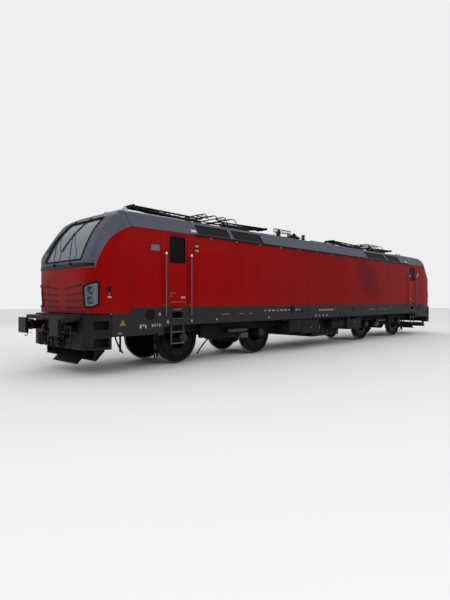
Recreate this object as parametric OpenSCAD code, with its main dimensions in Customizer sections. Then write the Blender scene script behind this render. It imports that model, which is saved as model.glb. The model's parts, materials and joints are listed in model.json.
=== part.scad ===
// Four-axle electric locomotive with a cab at each end and four roof pantographs.
// X runs along the vehicle, Y across it and Z up; the front cab is at -X.
// Heights below are above the top of the rail, as a railway drawing gives them.
// on_rail() lifts each piece so that the wheel flanges, the lowest points, stand at z = 0.

/* [Overall] */
// Length over the buffer faces
buffer_length = 18980; // [15810:10:22780]
// Width over the body side walls
body_w = 3000; // [2500:10:3600]
// Height of the rain gutter, where the wall meets the roof
gutter_h = 3300; // [3150:10:3900]
// Rise of the cab roof above the gutter
roof_rise = 590; // [490:10:710]
// Distance between the two bogie pivots
pivot_pitch = 9500; // [8300:10:11400]

/* [Body] */
// Thickness of the body side walls
wall = 60; // [40:1:80]
// Thickness of the roof sections
roof_t = 50; // [40:1:60]
// Height of the lower edge of the side walls, which is the floor level
floor_h = 1470; // [1400:5:1600]
// Thickness of the floor plate
floor_t = 70; // [40:1:90]
// Height of the lower edge of the side sill between the bogies
sill_h = 1030; // [1020:5:1150]
// Depth that the sill drops below that edge at each end
sill_drop = 195; // [100:5:240]
// Distance of the roof's shoulders inside the body side walls
shoulder_in = 300; // [250:5:360]
// Height of the roof shoulder above the gutter
shoulder_rise = 390; // [330:5:460]
// Height of the flat roof hatches above the gutter
hatch_rise = 450; // [400:5:540]
// Gap between neighbouring roof sections
roof_gap = 8; // [4:1:16]

/* [Cab] */
// Distance of the nose tip behind the buffer faces
nose_set = 490; // [420:5:600]
// Distance of the joint between nose and side wall behind the buffer faces
seam_set = 1450; // [1350:5:1600]
// Distance of the cab's rear bulkhead behind the buffer faces
cab_set = 3290; // [3150:5:3500]
// Height of the windscreen's foot, where the nose is furthest forward
screen_foot_h = 2350; // [2200:5:2450]
// Height of the nose shell's lower edge
nose_foot_h = 1345; // [1330:5:1390]
// Radius of the nose's vertical corners
nose_corner_r = 430; // [350:5:520]
// Radius of the bow across the nose front
nose_bow_r = 11000; // [8000:100:16000]
// Half width of the windscreen at its foot
screen_y = 930; // [800:5:1000]
// Thickness of the windscreen glass
glass_t = 14; // [8:1:24]

/* [Doors] */
// Distance of the door's cab-side edge behind the buffer faces
door_set = 2410; // [2300:5:2500]
// Width of the door opening
door_w = 630; // [560:5:700]
// Height of the door opening above the floor
door_h = 1780; // [1600:5:1800]
// Thickness of the door leaf
door_t = 48; // [36:1:52]
// Gap round the door leaf
door_gap = 6; // [5:1:10]
// Width of the door window
door_window_w = 450; // [360:5:480]
// Height of the door window
door_window_h = 635; // [500:5:700]

/* [Running gear] */
// Wheelbase of each bogie
wheelbase = 3000; // [2500:10:3200]
// Diameter of the wheels on the tread
wheel_d = 1250; // [1040:1:1260]
// Track gauge between the wheel flanges
gauge = 1435; // [1300:1:1600]
// Height of the wheel flange
flange_h = 30; // [26:1:36]
// Width of the wheel rim
rim_w = 135; // [125:1:145]
// Radius of the axle between the wheels
axle_r = 95; // [80:1:110]
// Radius of the axle journals in their boxes
journal_r = 75; // [60:1:80]
// Running clearance of the journals and of the bogie pivots
running_gap = 0.3; // [0.2:0.1:0.8]
// Radius of the bogie pivot pins
pivot_r = 140; // [110:5:160]
// Radius of the traction motors
motor_r = 300; // [260:5:320]

/* [Pantographs] */
// Distance of the outer pantograph's main hinge behind the buffer faces
panto_set = 4040; // [3900:5:4200]
// Distance between the main hinges of two neighbouring pantographs
panto_pitch = 1630; // [1500:5:1800]
// Height of the main hinges above the gutter
panto_hinge_rise = 680; // [650:5:760]
// Length of the lower arm between its hinges
lower_arm = 1750; // [1458:1:1850]
// Rise of the knee above the main hinge with the arms folded
knee_rise = 100; // [80:5:160]
// Distance of the collector head behind the main hinge with the arms folded
head_set = 452; // [400:2:520]
// Width of the collector head over its horns
head_w = 1600; // [1450:10:1950]
// Distance between the two contact strips
strip_pitch = 380; // [300:5:440]

/* [Hidden] */
$fn = 64;
eps = 1;
seat = 0.3;

// Places along the vehicle, for the end at +X
end_x = buffer_length / 2;
nose_x = end_x - nose_set;
seam_x = end_x - seam_set;
cab_x = end_x - cab_set;
door_x = end_x - door_set - door_w;
headstock_set = 440;
frame_set = 990;
headstock_x = end_x - headstock_set;
frame_x = end_x - frame_set;
half_w = body_w / 2;
shoulder_y = half_w - shoulder_in;
roof_h = gutter_h + roof_rise;
shoulder_h = gutter_h + shoulder_rise;
hatch_h = gutter_h + hatch_rise;
hinge_h = gutter_h + panto_hinge_rise;
wheel_r = wheel_d / 2;
tread_y = gauge / 2 + 32.5;
wheel_back_y = tread_y - 70;
beam_y = wheel_back_y + rim_w + 135;
beam_w = 160;
beam_top = 1000;
beam_low = wheel_r + 175;
bogie_half = wheelbase / 2 + wheel_r + flange_h + 115;
cross_x = 340;
spring_r = 125;
spring_x = 210;

// One point of a cubic curve, and a run of them
function bezier(p, t) =
    pow(1 - t, 3) * p[0] + 3 * pow(1 - t, 2) * t * p[1] + 3 * (1 - t) * t * t * p[2] + pow(t, 3) * p[3];
function curve(p, n) = [for (i = [0:n]) bezier(p, i / n)];
function arc(centre, r, from, to, n) =
    [for (i = [0:n]) centre + r * [cos(from + (to - from) * i / n), sin(from + (to - from) * i / n)]];
function mirrored(points) = concat(points, [for (i = [len(points) - 1:-1:0]) [-points[i][0], points[i][1]]]);

module on_rail() { translate([0, 0, flange_h]) children(); }
module both_ends() { for (turn = [0, 180]) rotate([0, 0, turn]) children(); }
module both_sides() { for (flip = [0, 1]) mirror([0, flip, 0]) children(); }
// An outline in X and Z, carried across the vehicle from y0 to y1
module across(y0, y1) { translate([0, y1, 0]) rotate([90, 0, 0]) linear_extrude(y1 - y0) children(); }
// An outline in Y and Z, carried along the vehicle from x0 to x1
module along(x0, x1) { translate([x0, 0, 0]) rotate([90, 0, 90]) linear_extrude(x1 - x0) children(); }
module block(low, high) { translate(low) cube(high - low); }
module bar_y(x, z, r, y0, y1) { translate([x, y1, z]) rotate([90, 0, 0]) cylinder(r = r, h = y1 - y0); }
module bar_x(y, z, r, x0, x1) { translate([x0, y, z]) rotate([0, 90, 0]) cylinder(r = r, h = x1 - x0); }
module post(x, y, r, z0, z1) { translate([x, y, z0]) cylinder(r = r, h = z1 - z0); }
// A round bar between two points in one plane y
module strut(y, x0, z0, x1, z1, r) {
    run = norm([x1 - x0, z1 - z0]);
    translate([x0, y, z0]) rotate([0, atan2(x1 - x0, z1 - z0), 0]) cylinder(r = r, h = run);
}

// ---- Body shell ----
// Cross-section of the body with its walls moved in by t and its crown at height top;
// a high power makes the crown flat up to the shoulders
function section(t, top, foot, power = 2) = mirrored(concat(
    [[half_w - t, foot], [half_w - t, gutter_h - t / 3]],
    [for (i = [0:6]) let (share = 1 - i / 6)
        [(shoulder_y - t) * share, shoulder_h - t + (top - shoulder_h) * (1 - pow(share, power))]]));
// Nose seen from the side: the screen and roof line is one curve from the screen's foot to the crown
function screen_curve(t) = [for (p = [[nose_x, screen_foot_h], [nose_x - 280, screen_foot_h + 800],
    [nose_x - 650, roof_h], [nose_x - 1600, roof_h]]) p - [t, t]];
function nose_side(t, foot) = concat(
    [[seam_x - 700, foot], [nose_x - 100 - t, foot], [nose_x - t, screen_foot_h - t]],
    curve(screen_curve(t), 12), [[seam_x - 700, roof_h - t]]);
// Nose seen from above: a shallow bow across the front, with a round corner at each side
function plan_points(t, tip, bow) =
    let (r = nose_corner_r - t, edge = half_w - t - r, front = tip - bow * pow(edge, 2) / (2 * nose_bow_r))
    [for (p = mirrored(concat([[half_w - t, 0]],
        [for (q = arc([edge, front - r], r, 0, 90, 6)) q],
        [for (share = [0.75, 0.5, 0.25]) [edge * share, tip - bow * pow(edge * share, 2) / (2 * nose_bow_r)]])))
        [p[1], p[0]]];
module nose_plan(t) { polygon(plan_points(t, nose_x - t, 1)); }
module both_plan() { children(); mirror([0, 1]) children(); }
// The whole nose as a solid, with every face moved in by t
module nose_form(t, foot) {
    intersection() {
        along(seam_x, nose_x + 50) polygon(section(t, roof_h, foot));
        across(-half_w, half_w) polygon(nose_side(t, foot));
        translate([0, 0, foot - 50]) linear_extrude(roof_h) nose_plan(t);
        leaned_plan(t);
    }
}
// The plan's round corners, leaned back to follow the windscreen and clear of its middle by lean_out
lean_at = 0.4;
lean_out = 12;
module leaned_plan(t) {
    here = bezier(screen_curve(t), lean_at);
    step = bezier(screen_curve(t), lean_at + 0.01) - here;
    lean = atan2(-step[0], step[1]);
    translate([here[0], 0, here[1]]) rotate([0, -lean, 0])
        translate([-nose_x, 0, -4500]) linear_extrude(9000) polygon(plan_points(t, nose_x + lean_out, 0));
}
module nose_shell() {
    difference() {
        nose_form(0, nose_foot_h);
        translate([-eps, 0, 0]) nose_form(wall, nose_foot_h - 60);
        screen_cut(0);
        both_sides() lamp_cut(0);
    }
}
// Opening for the windscreen, made larger by grow all round
module screen_cut(grow) {
    along(seam_x + 60, nose_x + 200)
        polygon([[-screen_y - grow, screen_foot_h + 200 - grow], [screen_y + grow, screen_foot_h + 200 - grow],
            [screen_y - 110 + grow, screen_foot_h + 1200 + grow], [-screen_y + 110 - grow, screen_foot_h + 1200 + grow]]);
}
// Opening for the lamps at the +Y corner of the nose
module lamp_cut(grow) {
    y0 = half_w - 400 - grow;
    y1 = half_w - 95 + grow;
    z0 = nose_foot_h + 155 - grow;
    along(nose_x - 330, nose_x + 100) polygon([[y0, z0], [y1 - 100, z0 + 5], [y1, z0 + 60],
        [y1, z0 + 535 + 2 * grow], [y0, z0 + 440 + 2 * grow]]);
}
// The part of the nose that carries the windscreen, parted from the painted nose along one curve
module screen_region() {
    foot = [nose_x - 180, screen_foot_h];
    across(-half_w - 50, half_w + 50) polygon(concat(
        [[seam_x - 50, gutter_h]],
        curve([[seam_x, gutter_h], [seam_x + 410, gutter_h - 120], [nose_x - 250, gutter_h - 500], foot], 8),
        [[nose_x + 100, screen_foot_h], [nose_x + 100, roof_h + 100], [seam_x - 50, roof_h + 100]]));
}
module nose_shells() {
    color("firebrick") on_rail() both_ends() difference() { nose_shell(); screen_region(); }
}
module windscreen_frames() {
    color("slategray") on_rail() both_ends() intersection() { nose_shell(); screen_region(); }
}
module windscreens() {
    color("lightsteelblue") on_rail() both_ends() intersection() {
        difference() { nose_form(10, nose_foot_h); nose_form(10 + glass_t, nose_foot_h - 60); }
        screen_cut(-seat);
    }
}
lamp_r = 88;
lamp_y = half_w - 250;
lamp_h = [295, 505];
lamp_back = 170;
module headlights() {
    color("gainsboro") on_rail() both_ends() both_sides() difference() {
        intersection() { nose_form(8, nose_foot_h); lamp_cut(-seat); }
        nose_form(wall + 60, nose_foot_h - 60);
        for (z = lamp_h) bar_x(lamp_y, nose_foot_h + z, lamp_r, nose_x - lamp_back, nose_x + 50);
    }
}

module side_wall() {
    difference() {
        block([-seam_x, half_w - wall, floor_h], [seam_x, half_w, gutter_h]);
        both_ends_x() block([door_x, half_w - wall - eps, floor_h - eps],
            [door_x + door_w, half_w + eps, floor_h + door_h]);
    }
    both_ends_x() for (z = hinge_z, way = [-1, 1]) {
        low = way < 0 ? z - 110 : z + 60 + seat;
        post(hinge_x, hinge_y, hinge_r, low, low + 50 - seat);
        block([door_x - 50, hinge_y - hinge_r, low], [hinge_x, half_w - wall + eps, low + 50 - seat]);
    }
}
module both_ends_x() { children(); mirror([1, 0, 0]) children(); }
module side_walls() { color("firebrick") on_rail() both_sides() side_wall(); }

// A roof section from x0 to x1 with its top at height top
module roof_section(x0, x1, top, power) {
    along(x0, x1) difference() {
        polygon(section(0, top, gutter_h, power));
        polygon(section(roof_t, top, gutter_h - eps, power));
    }
}
// Cab roof seen from the side: its back slants up from the hatches and its front follows the nose
module cab_roof_side(t) {
    over = t > 0 ? eps : 0;
    intersection() {
        polygon(concat([[cab_x - 10, gutter_h - over], [nose_x, gutter_h - over]],
            curve(screen_curve(t), 12), [[cab_x - 10, roof_h - t]]));
        polygon([[cab_x + roof_gap - 2 * over, gutter_h - over], [seam_x + over, gutter_h - over],
            [seam_x + over, roof_h], [cab_x + 260, roof_h], [cab_x + roof_gap - 2 * over, hatch_h - t]]);
    }
}
module cab_roofs() {
    color("slategray") on_rail() both_ends() difference() {
        intersection() {
            along(cab_x, seam_x) polygon(section(0, roof_h, gutter_h));
            across(-half_w, half_w) cab_roof_side(0);
        }
        intersection() {
            along(cab_x - eps, seam_x + eps) polygon(section(roof_t, roof_h, gutter_h - eps));
            across(-half_w, half_w) cab_roof_side(roof_t);
        }
    }
}
hatch_x = [-cab_x, -2180, 2180, cab_x];
// Louvre panels: first and last x, on the -Y side of the rear hatch and on its +Y side
louvre_left = [[cab_x - 3600, cab_x - 1840], [cab_x - 1820, cab_x - 510]];
louvre_right = [[cab_x - 2700, cab_x - 1360], [cab_x - 1340, cab_x - 70]];
slope = atan2(half_w - shoulder_y, shoulder_rise);
slope_len = norm([half_w - shoulder_y, shoulder_rise]);
panel_edge = 45;
// On the roof slope at +Y: x runs along the vehicle, y up the slope and z inwards
module on_slope() { translate([0, half_w, gutter_h]) rotate([90 + slope, 0, 0]) children(); }
module louvre_hole(x0, x1) {
    on_slope() block([x0 + panel_edge, panel_edge, -20], [x1 - panel_edge, slope_len - panel_edge - 40, roof_t + 30]);
}
module louvre_panel(x0, x1) {
    low = [x0 + panel_edge + seat, panel_edge + seat, 4];
    high = [x1 - panel_edge - seat, slope_len - panel_edge - 40 - seat, roof_t - 12];
    slats = 7;
    pitch = (high[1] - low[1] - 40) / slats;
    on_slope() {
        difference() {
            block(low, high);
            block(low + [20, 20, -eps], high + [-20, -20, eps]);
        }
        for (i = [0:slats - 1]) translate([low[0], low[1] + 20 + (i + 0.5) * pitch, 20])
            rotate([-35, 0, 0]) translate([0, -19, -2]) cube([high[0] - low[0], 38, 4]);
    }
}
module roof_hatches() {
    color("slategray") on_rail() difference() {
        for (i = [0:2]) roof_section(hatch_x[i] + roof_gap / 2, hatch_x[i + 1] - roof_gap / 2, hatch_h, 8);
        both_ends() {
            for (p = louvre_right) louvre_hole(p[0], p[1]);
            for (p = louvre_left) mirror([0, 1, 0]) louvre_hole(p[0], p[1]);
        }
    }
}
module roof_louvres() {
    color("dimgray") on_rail() both_ends() {
        for (p = louvre_right) louvre_panel(p[0], p[1]);
        for (p = louvre_left) mirror([0, 1, 0]) louvre_panel(p[0], p[1]);
    }
}

// ---- Underframe and end modules ----
band_in = 6;
pad_l = 160;
pad_x = door_x + door_w + 70;
socket_r = 95;
socket_x = end_x - 1950;
socket_h = sill_h + 280;
step_w = 310;
module band_outline() {
    drop_x = end_x - 1960;
    rise_x = end_x - 2510;
    polygon(concat([[-drop_x, sill_h - sill_drop], [-frame_x, sill_h - sill_drop], [-frame_x, floor_h - seat],
        [frame_x, floor_h - seat], [frame_x, sill_h - sill_drop]],
        curve([[drop_x, sill_h - sill_drop], [drop_x - 220, sill_h - sill_drop], [rise_x + 220, sill_h], [rise_x, sill_h]], 6),
        curve([[-rise_x, sill_h], [-rise_x - 220, sill_h], [-drop_x + 220, sill_h - sill_drop], [-drop_x, sill_h - sill_drop]], 6)));
}
module side_sill() {
    difference() {
        across(half_w - wall, half_w - band_in) band_outline();
        both_ends() block([seam_x - seat, -half_w, nose_foot_h - seat], [frame_x + eps, half_w, floor_h]);
        both_ends_x() step_cut();
        both_ends_x() bar_y(socket_x, socket_h, socket_r, half_w - wall - eps, half_w);
    }
    both_ends_x() block([pad_x, half_w - 190, sill_h - sill_drop - 25], [pad_x + pad_l, half_w - 20, sill_h]);
}
module underframe() {
    color([0.23, 0.23, 0.25]) on_rail() {
        both_sides() side_sill();
        block([-seam_x, -half_w + wall + seat, floor_h - floor_t], [seam_x, half_w - wall - seat, floor_h - seat]);
        both_ends() post(pivot_pitch / 2, 0, pivot_r, wheel_r + 60, floor_h - floor_t + eps);
        both_ends() intersection() {
            block([seam_x - 300, -half_w + wall + seat, floor_h - floor_t],
                [frame_x + 300, half_w - wall - seat, floor_h - seat]);
            linear_extrude(gutter_h) nose_plan(wall + 15);
        }
    }
}
// Foot recess in the sill below each door
module step_cut() {
    x = door_x + door_w / 2;
    block([x - step_w / 2, half_w - wall - eps, floor_h - 270], [x + step_w / 2, half_w + eps, floor_h - 120]);
}
// Headstock seen from above, with round corners
end_r = 330;
end_in = 20;
end_low = 570;
module end_plan() {
    side = half_w - end_in;
    translate([0, -side]) square([headstock_x - end_r, 2 * side]);
    translate([0, -side + end_r]) square([headstock_x, 2 * (side - end_r)]);
    both_plan() translate([headstock_x - end_r, side - end_r]) circle(r = end_r);
}
recess_h = [620, 1000];
recess_rise = 190;
module headstocks() {
    color([0.2, 0.2, 0.22]) on_rail() both_ends() difference() {
        intersection() {
            block([frame_x + seat, -half_w, end_low], [headstock_x, half_w, nose_foot_h - 15]);
            linear_extrude(gutter_h) end_plan();
        }
        for (z = recess_h) both_sides()
            block([frame_x + 60, half_w - 210, z], [headstock_x - 160, half_w, z + recess_rise]);
        block([frame_x - eps, -half_w + 300, 500], [headstock_x - 60, half_w - 300, 900]);
        both_sides() post(headstock_x + 60, half_w, 240, 500, 640);
    }
}
platform_y = 1150;
platform_x = end_x - 165;
module end_platforms() {
    color([0.24, 0.24, 0.26]) on_rail() both_ends() difference() {
        block([headstock_x + seat, -platform_y, 1215], [platform_x, platform_y, 1300]);
        for (y = [-platform_y, platform_y]) translate([platform_x, y, 1200]) rotate([0, 0, 45])
            cube([120, 120, 300], center = true);
    }
}
buffer_y = 875;
buffer_h = 1060;
head_l = 450;
head_rise_w = 360;
head_t = 70;
// Buffer head with its middle flat and its rim bevelled back
module buffer_head() {
    difference() {
        translate([-head_l / 2, -head_rise_w / 2, 0]) cube([head_l, head_rise_w, head_t]);
        for (turn = [0, 180]) rotate([0, 0, turn]) {
            translate([head_l / 2, -head_rise_w / 2 - 20, head_t - 8]) rotate([0, 45, 0])
                cube([40, head_rise_w + 40, 40]);
            translate([-head_l / 2 - 25, head_rise_w / 2, head_t - 8]) rotate([-45, 0, 0])
                cube([head_l + 50, 40, 40]);
        }
    }
}
module buffers() {
    color([0.16, 0.16, 0.17]) on_rail() both_ends() for (y = [-buffer_y, buffer_y]) {
        bar_x(y, buffer_h, 105, headstock_x + 20, end_x - 170);
        bar_x(y, buffer_h, 85, headstock_x + 20, end_x - 65);
        block([headstock_x + seat, y - 170, buffer_h - 150], [headstock_x + 25, y + 170, buffer_h + 150]);
        translate([end_x - head_t, y, buffer_h]) rotate([90, 0, 90]) buffer_head();
    }
}
hook_h = 1040;
module couplings() {
    color([0.3, 0.28, 0.26]) on_rail() both_ends() {
        block([headstock_x + seat, -130, hook_h - 110], [headstock_x + 40, 130, hook_h + 110]);
        block([headstock_x + 30, -45, hook_h - 45], [headstock_x + 150, 45, hook_h + 45]);
        across(-30, 30) difference() {
            union() {
                translate([headstock_x + 140, hook_h - 85]) square([90, 170]);
                translate([headstock_x + 230, hook_h - 10]) circle(r = 85);
            }
            translate([headstock_x + 225, hook_h + 15]) circle(r = 36);
            translate([headstock_x + 190, hook_h + 15]) square([36, 120]);
        }
        bar_y(headstock_x + 170, hook_h - 50, 24, -95, 95);
        for (y = [-80, 80]) strut(y, headstock_x + 170, hook_h - 50, headstock_x + 120, hook_h - 300, 19);
        bar_y(headstock_x + 120, hook_h - 300, 24, -95, 95);
        strut(0, headstock_x + 120, hook_h - 270, headstock_x + 75, hook_h - 500, 22);
    }
}
hose_y = [260, 480];
hose_r = 22;
hose_bend = 90;
hose_low = 700;
hose_cock_h = 930;
hose_end_h = 850;
module brake_hoses() {
    color([0.1, 0.1, 0.1]) on_rail() both_ends() both_sides() for (i = [0:1]) {
        x = headstock_x + 70 + 50 * i;
        bar_x(hose_y[i], hose_cock_h, 28, headstock_x + seat, x + 28);
        post(x, hose_y[i], hose_r, hose_low, hose_cock_h);
        translate([x, hose_y[i] + hose_bend, hose_low]) rotate([90, 0, 90]) rotate([0, 0, 180])
            rotate_extrude(angle = 180) translate([hose_bend, 0]) circle(r = hose_r, $fn = 24);
        post(x, hose_y[i] + 2 * hose_bend, hose_r, hose_low, hose_end_h);
        bar_x(hose_y[i] + 2 * hose_bend, hose_end_h, 26, headstock_x + seat, x + 26);
    }
}
plough_y = half_w - 230;
plough_low = 200;
module snow_ploughs() {
    color([0.3, 0.3, 0.31]) on_rail() both_ends() {
        difference() {
            across(-plough_y, plough_y)
                polygon([[frame_x + 40, 530], [frame_x + 60, 530], [frame_x + 390, plough_low + 10],
                    [frame_x + 365, plough_low]]);
            both_sides() block([frame_x, 620, 0], [frame_x + 600, half_w, plough_low + 120]);
        }
        for (y = [45 - plough_y, plough_y - 45]) across(y - 12, y + 12)
            polygon([[frame_x + 50, 524], [frame_x + 40, end_low - seat], [frame_x + 270, end_low - seat],
                [frame_x + 270, plough_low + 130]]);
    }
}

// ---- Cab ----
module cab_bulkheads() {
    color("lightgray") on_rail() both_ends()
        block([cab_x + roof_gap, -half_w + wall + seat, floor_h], [cab_x + 48, half_w - wall - seat, gutter_h - 20]);
}
module driver_desks() {
    color([0.2, 0.2, 0.22]) on_rail() both_ends() difference() {
        intersection() {
            across(-half_w + wall + 40, half_w - wall - 40)
                polygon([[nose_x - 950, floor_h], [nose_x - 950, floor_h + 720], [nose_x - 900, floor_h + 780],
                    [nose_x - 500, floor_h + 850], [nose_x - 350, floor_h + 850], [nose_x - 350, floor_h]]);
            translate([0, 0, 1000]) linear_extrude(gutter_h) nose_plan(wall + 30);
        }
        block([nose_x - 1000, 50, floor_h - eps], [nose_x - 600, 750, floor_h + 650]);
    }
}
seat_x = nose_x - 1500;
seat_y = 400;
module driver_seats() {
    color([0.12, 0.13, 0.16]) on_rail() both_ends() {
        post(seat_x, seat_y, 90, floor_h, floor_h + 400);
        block([seat_x - 240, seat_y - 240, floor_h + 380], [seat_x + 240, seat_y + 240, floor_h + 500]);
        across(seat_y - 230, seat_y + 230) polygon([[seat_x - 240, floor_h + 440], [seat_x - 140, floor_h + 440],
            [seat_x - 260, floor_h + 1150], [seat_x - 350, floor_h + 1150]]);
    }
}
// One cab door leaf, drawn for the rear end at +Y, with its window and hinge barrel
hinge_r = 12;
hinge_x = door_x + door_gap + 20;
hinge_y = half_w - wall - hinge_r;
hinge_z = [for (share = [0.15, 0.5, 0.85]) floor_h + share * door_h];
module door_leaf() {
    x0 = door_x + door_gap;
    x1 = door_x + door_w - door_gap;
    z0 = floor_h + door_gap;
    z1 = floor_h + door_h - door_gap;
    wx = (x0 + x1 - door_window_w) / 2;
    wz = z1 - 50 - door_window_h;
    difference() {
        block([x0, half_w - door_t, z0], [x1, half_w - 2, z1]);
        block([wx, half_w - wall - 5, wz], [wx + door_window_w, half_w + 5, wz + door_window_h]);
    }
    for (z = hinge_z) {
        post(hinge_x, hinge_y, hinge_r, z - 60, z + 60);
        block([hinge_x - hinge_r, hinge_y, z - 60], [hinge_x + hinge_r, half_w - door_t + eps, z + 60]);
    }
}
module door_rear_left() { color("firebrick") on_rail() mirror([0, 1, 0]) door_leaf(); }
module door_rear_right() { color("firebrick") on_rail() door_leaf(); }
module door_front_left() { color("firebrick") on_rail() rotate([0, 0, 180]) door_leaf(); }
module door_front_right() { color("firebrick") on_rail() rotate([0, 0, 180]) mirror([0, 1, 0]) door_leaf(); }
rail_out = 62;
rail_r = 16;
rail_low = floor_h - 210;
rail_top = floor_h + 1310;
module handrails() {
    color("silver") on_rail() both_ends() both_sides() for (x = [door_x - 70, door_x + door_w + 60]) {
        post(x, half_w + rail_out, rail_r, rail_low, rail_top);
        for (z = [floor_h + 40, rail_top - 20]) bar_y(x, z, 12, half_w, half_w + rail_out);
    }
}
ladder_w = 380;
ladder_low = 560;
module ladders() {
    x = door_x + door_w / 2;
    color("silver") on_rail() both_ends() both_sides() {
        for (side = [-ladder_w / 2, ladder_w / 2 - 12])
            block([x + side, half_w - 40, ladder_low], [x + side + 12, half_w + 10, sill_h - seat]);
        for (z = [ladder_low + 15, ladder_low + 290])
            block([x - ladder_w / 2, half_w - 60, z], [x + ladder_w / 2, half_w + 20, z + 28]);
    }
}

// ---- Underfloor equipment ----
tank_x = [-680, 1000];
tank_y = 1120;
tank_low = 350;
// First and last x, and lowest and highest z, of the boxes hung at both sides
hung = [[-1710, -740, 540, 990], [1060, 2090, 545, 930], [-2390, -1730, 600, 1000]];
module transformer() {
    color([0.25, 0.25, 0.26]) on_rail() {
        block([tank_x[0], -tank_y, tank_low], [tank_x[1], tank_y, floor_h - floor_t - seat]);
        for (x = [tank_x[0] + 160:320:tank_x[1] - 100])
            block([x, -tank_y - 30, tank_low + 70], [x + 30, tank_y + 30, tank_low + 650]);
    }
}
module hung_box(x0, x1, z0, z1) {
    both_sides() {
        block([x0, half_w - 620, z0], [x1, half_w - 20, z1]);
        for (x = [x0 + 60, x1 - 120]) block([x, half_w - 55, z1 - eps], [x + 60, half_w - 15, sill_h - seat]);
    }
}
module underfloor_boxes() {
    color([0.34, 0.34, 0.36]) on_rail() {
        for (h = hung) hung_box(h[0], h[1], h[2], h[3]);
    }
}
air_l = 400;
air_h = 770;
air_r = 150;
module air_tanks() {
    color([0.28, 0.28, 0.3]) on_rail() both_sides() for (i = [0:1]) {
        x = 80 + (air_l + 40) * i;
        bar_x(half_w - 190, air_h, air_r, x, x + air_l);
        for (s = [x + 60, x + air_l - 100]) block([s, half_w - 60, air_h + 10], [s + 40, half_w - 35, sill_h - seat]);
    }
}

// ---- Roof gear ----
// Main hinges, and which way each knee points along X
panto_x = [for (s = [-1, 1]) for (k = s < 0 ? [0, 1] : [1, 0]) s * (end_x - panto_set - k * panto_pitch)];
panto_way = [-1, 1, -1, 1];
head_rise = 60;
base_end = 640;
base_y = 420;
base_t = 50;
base_low = hatch_h - hinge_h + 140;
// Stands a pantograph piece, drawn about its main hinge with the knee at +x, in its place
module at_panto(i) {
    on_rail() translate([panto_x[i - 1], 0, hinge_h]) mirror([panto_way[i - 1] < 0 ? 1 : 0, 0, 0]) children();
}
knee = [sqrt(pow(lower_arm, 2) - pow(knee_rise, 2)), knee_rise];
head = [-head_set, head_rise];
lug_y = 150;
lug_t = 28;
hinge_pin_r = 30;
knee_pin_r = 18;
head_pin_r = 20;
fork_y = 205;
cradle_y = 290;
module lower_arm_piece() {
    strut(0, 0, 0, knee[0], knee[1], 55);
    bar_y(0, 0, 62, -lug_y + 20, lug_y - 20);
    bar_y(0, 0, hinge_pin_r, -lug_y - lug_t / 2, lug_y + lug_t / 2);
    bar_y(knee[0], knee[1], 45, -170, 170);
    bar_y(knee[0], knee[1], knee_pin_r, -fork_y - 20, fork_y + 20);
}
module upper_arm_piece() {
    for (y = [-fork_y, fork_y]) {
        difference() {
            union() {
                bar_y(knee[0], knee[1], 42, y - 22, y + 22);
                strut(y, knee[0], knee[1], head[0], head[1], 24);
                bar_y(head[0], head[1], 34, y - 22, y + 22);
            }
            bar_y(knee[0], knee[1], knee_pin_r + running_gap, y - 30, y + 30);
        }
    }
    bar_y(head[0], head[1], head_pin_r, -cradle_y - 20, cradle_y + 20);
    mid = knee * 0.15 + head * 0.85;
    bar_y(mid[0], mid[1], 16, -fork_y, fork_y);
}
horn_r = 210;
module head_piece() {
    half = head_w / 2 - horn_r;
    top = head[1] + 75;
    for (x = [head[0] - strip_pitch / 2, head[0] + strip_pitch / 2]) {
        block([x - 18, -half, top - 26], [x + 18, half, top]);
        both_sides() translate([x, half, top - 13 - horn_r]) rotate([90, 0, 90])
            rotate_extrude(angle = 90) translate([horn_r, 0]) circle(r = 13, $fn = 24);
    }
    for (y = [-cradle_y, cradle_y]) {
        block([head[0] - strip_pitch / 2, y - 12, top - 50], [head[0] + strip_pitch / 2, y + 12, top - 20]);
        difference() {
            union() {
                bar_y(head[0], head[1], 36, y - 12, y + 12);
                block([head[0] - 25, y - 12, head[1]], [head[0] + 25, y + 12, top - 30]);
            }
            bar_y(head[0], head[1], head_pin_r + running_gap, y - 20, y + 20);
        }
    }
}
module panto_base() {
    for (y = [-base_y, base_y - 40]) block([-330, y, base_low], [base_end + 40, y + 40, base_low + base_t]);
    for (x = [-330, base_end]) block([x, -base_y, base_low], [x + 40, base_y, base_low + base_t]);
    block([230, -base_y, base_low], [270, base_y, base_low + base_t - 18]);
    for (y = [-lug_y, lug_y]) {
        difference() {
            union() {
                block([-45, y - lug_t / 2, base_low], [45, y + lug_t / 2, 0]);
                bar_y(0, 0, 48, y - lug_t / 2, y + lug_t / 2);
            }
            bar_y(0, 0, hinge_pin_r + running_gap, y - 30, y + 30);
        }
        block([-45, y - lug_t / 2, base_low], [260, y + lug_t / 2, base_low + base_t]);
    }
}
module pantograph_bases() { color("dimgray") for (i = [1:4]) at_panto(i) panto_base(); }
bus_y = 300;
module roof_insulators() {
    color([0.45, 0.2, 0.15]) {
        for (i = [1:4]) at_panto(i) for (x = [-310, base_end + 20], y = [-400, 400])
            post(x, y, 55, hatch_h - hinge_h + seat, base_low - seat);
        on_rail() {
            for (x = [-1750, -1150, 350, 1450]) post(x, bus_y, 60, hatch_h + seat, hatch_h + 230);
            post(-1450, -250, 65, hatch_h + seat, hatch_h + 360);
            post(150, -100, 80, hatch_h + seat, hatch_h + 320);
        }
    }
}
module busbars() {
    color([0.4, 0.38, 0.34]) on_rail() {
        for (run = [[-1850, -1050], [250, 1550]]) bar_x(bus_y, hatch_h + 250 + seat, 20, run[0], run[1]);
    }
}
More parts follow.
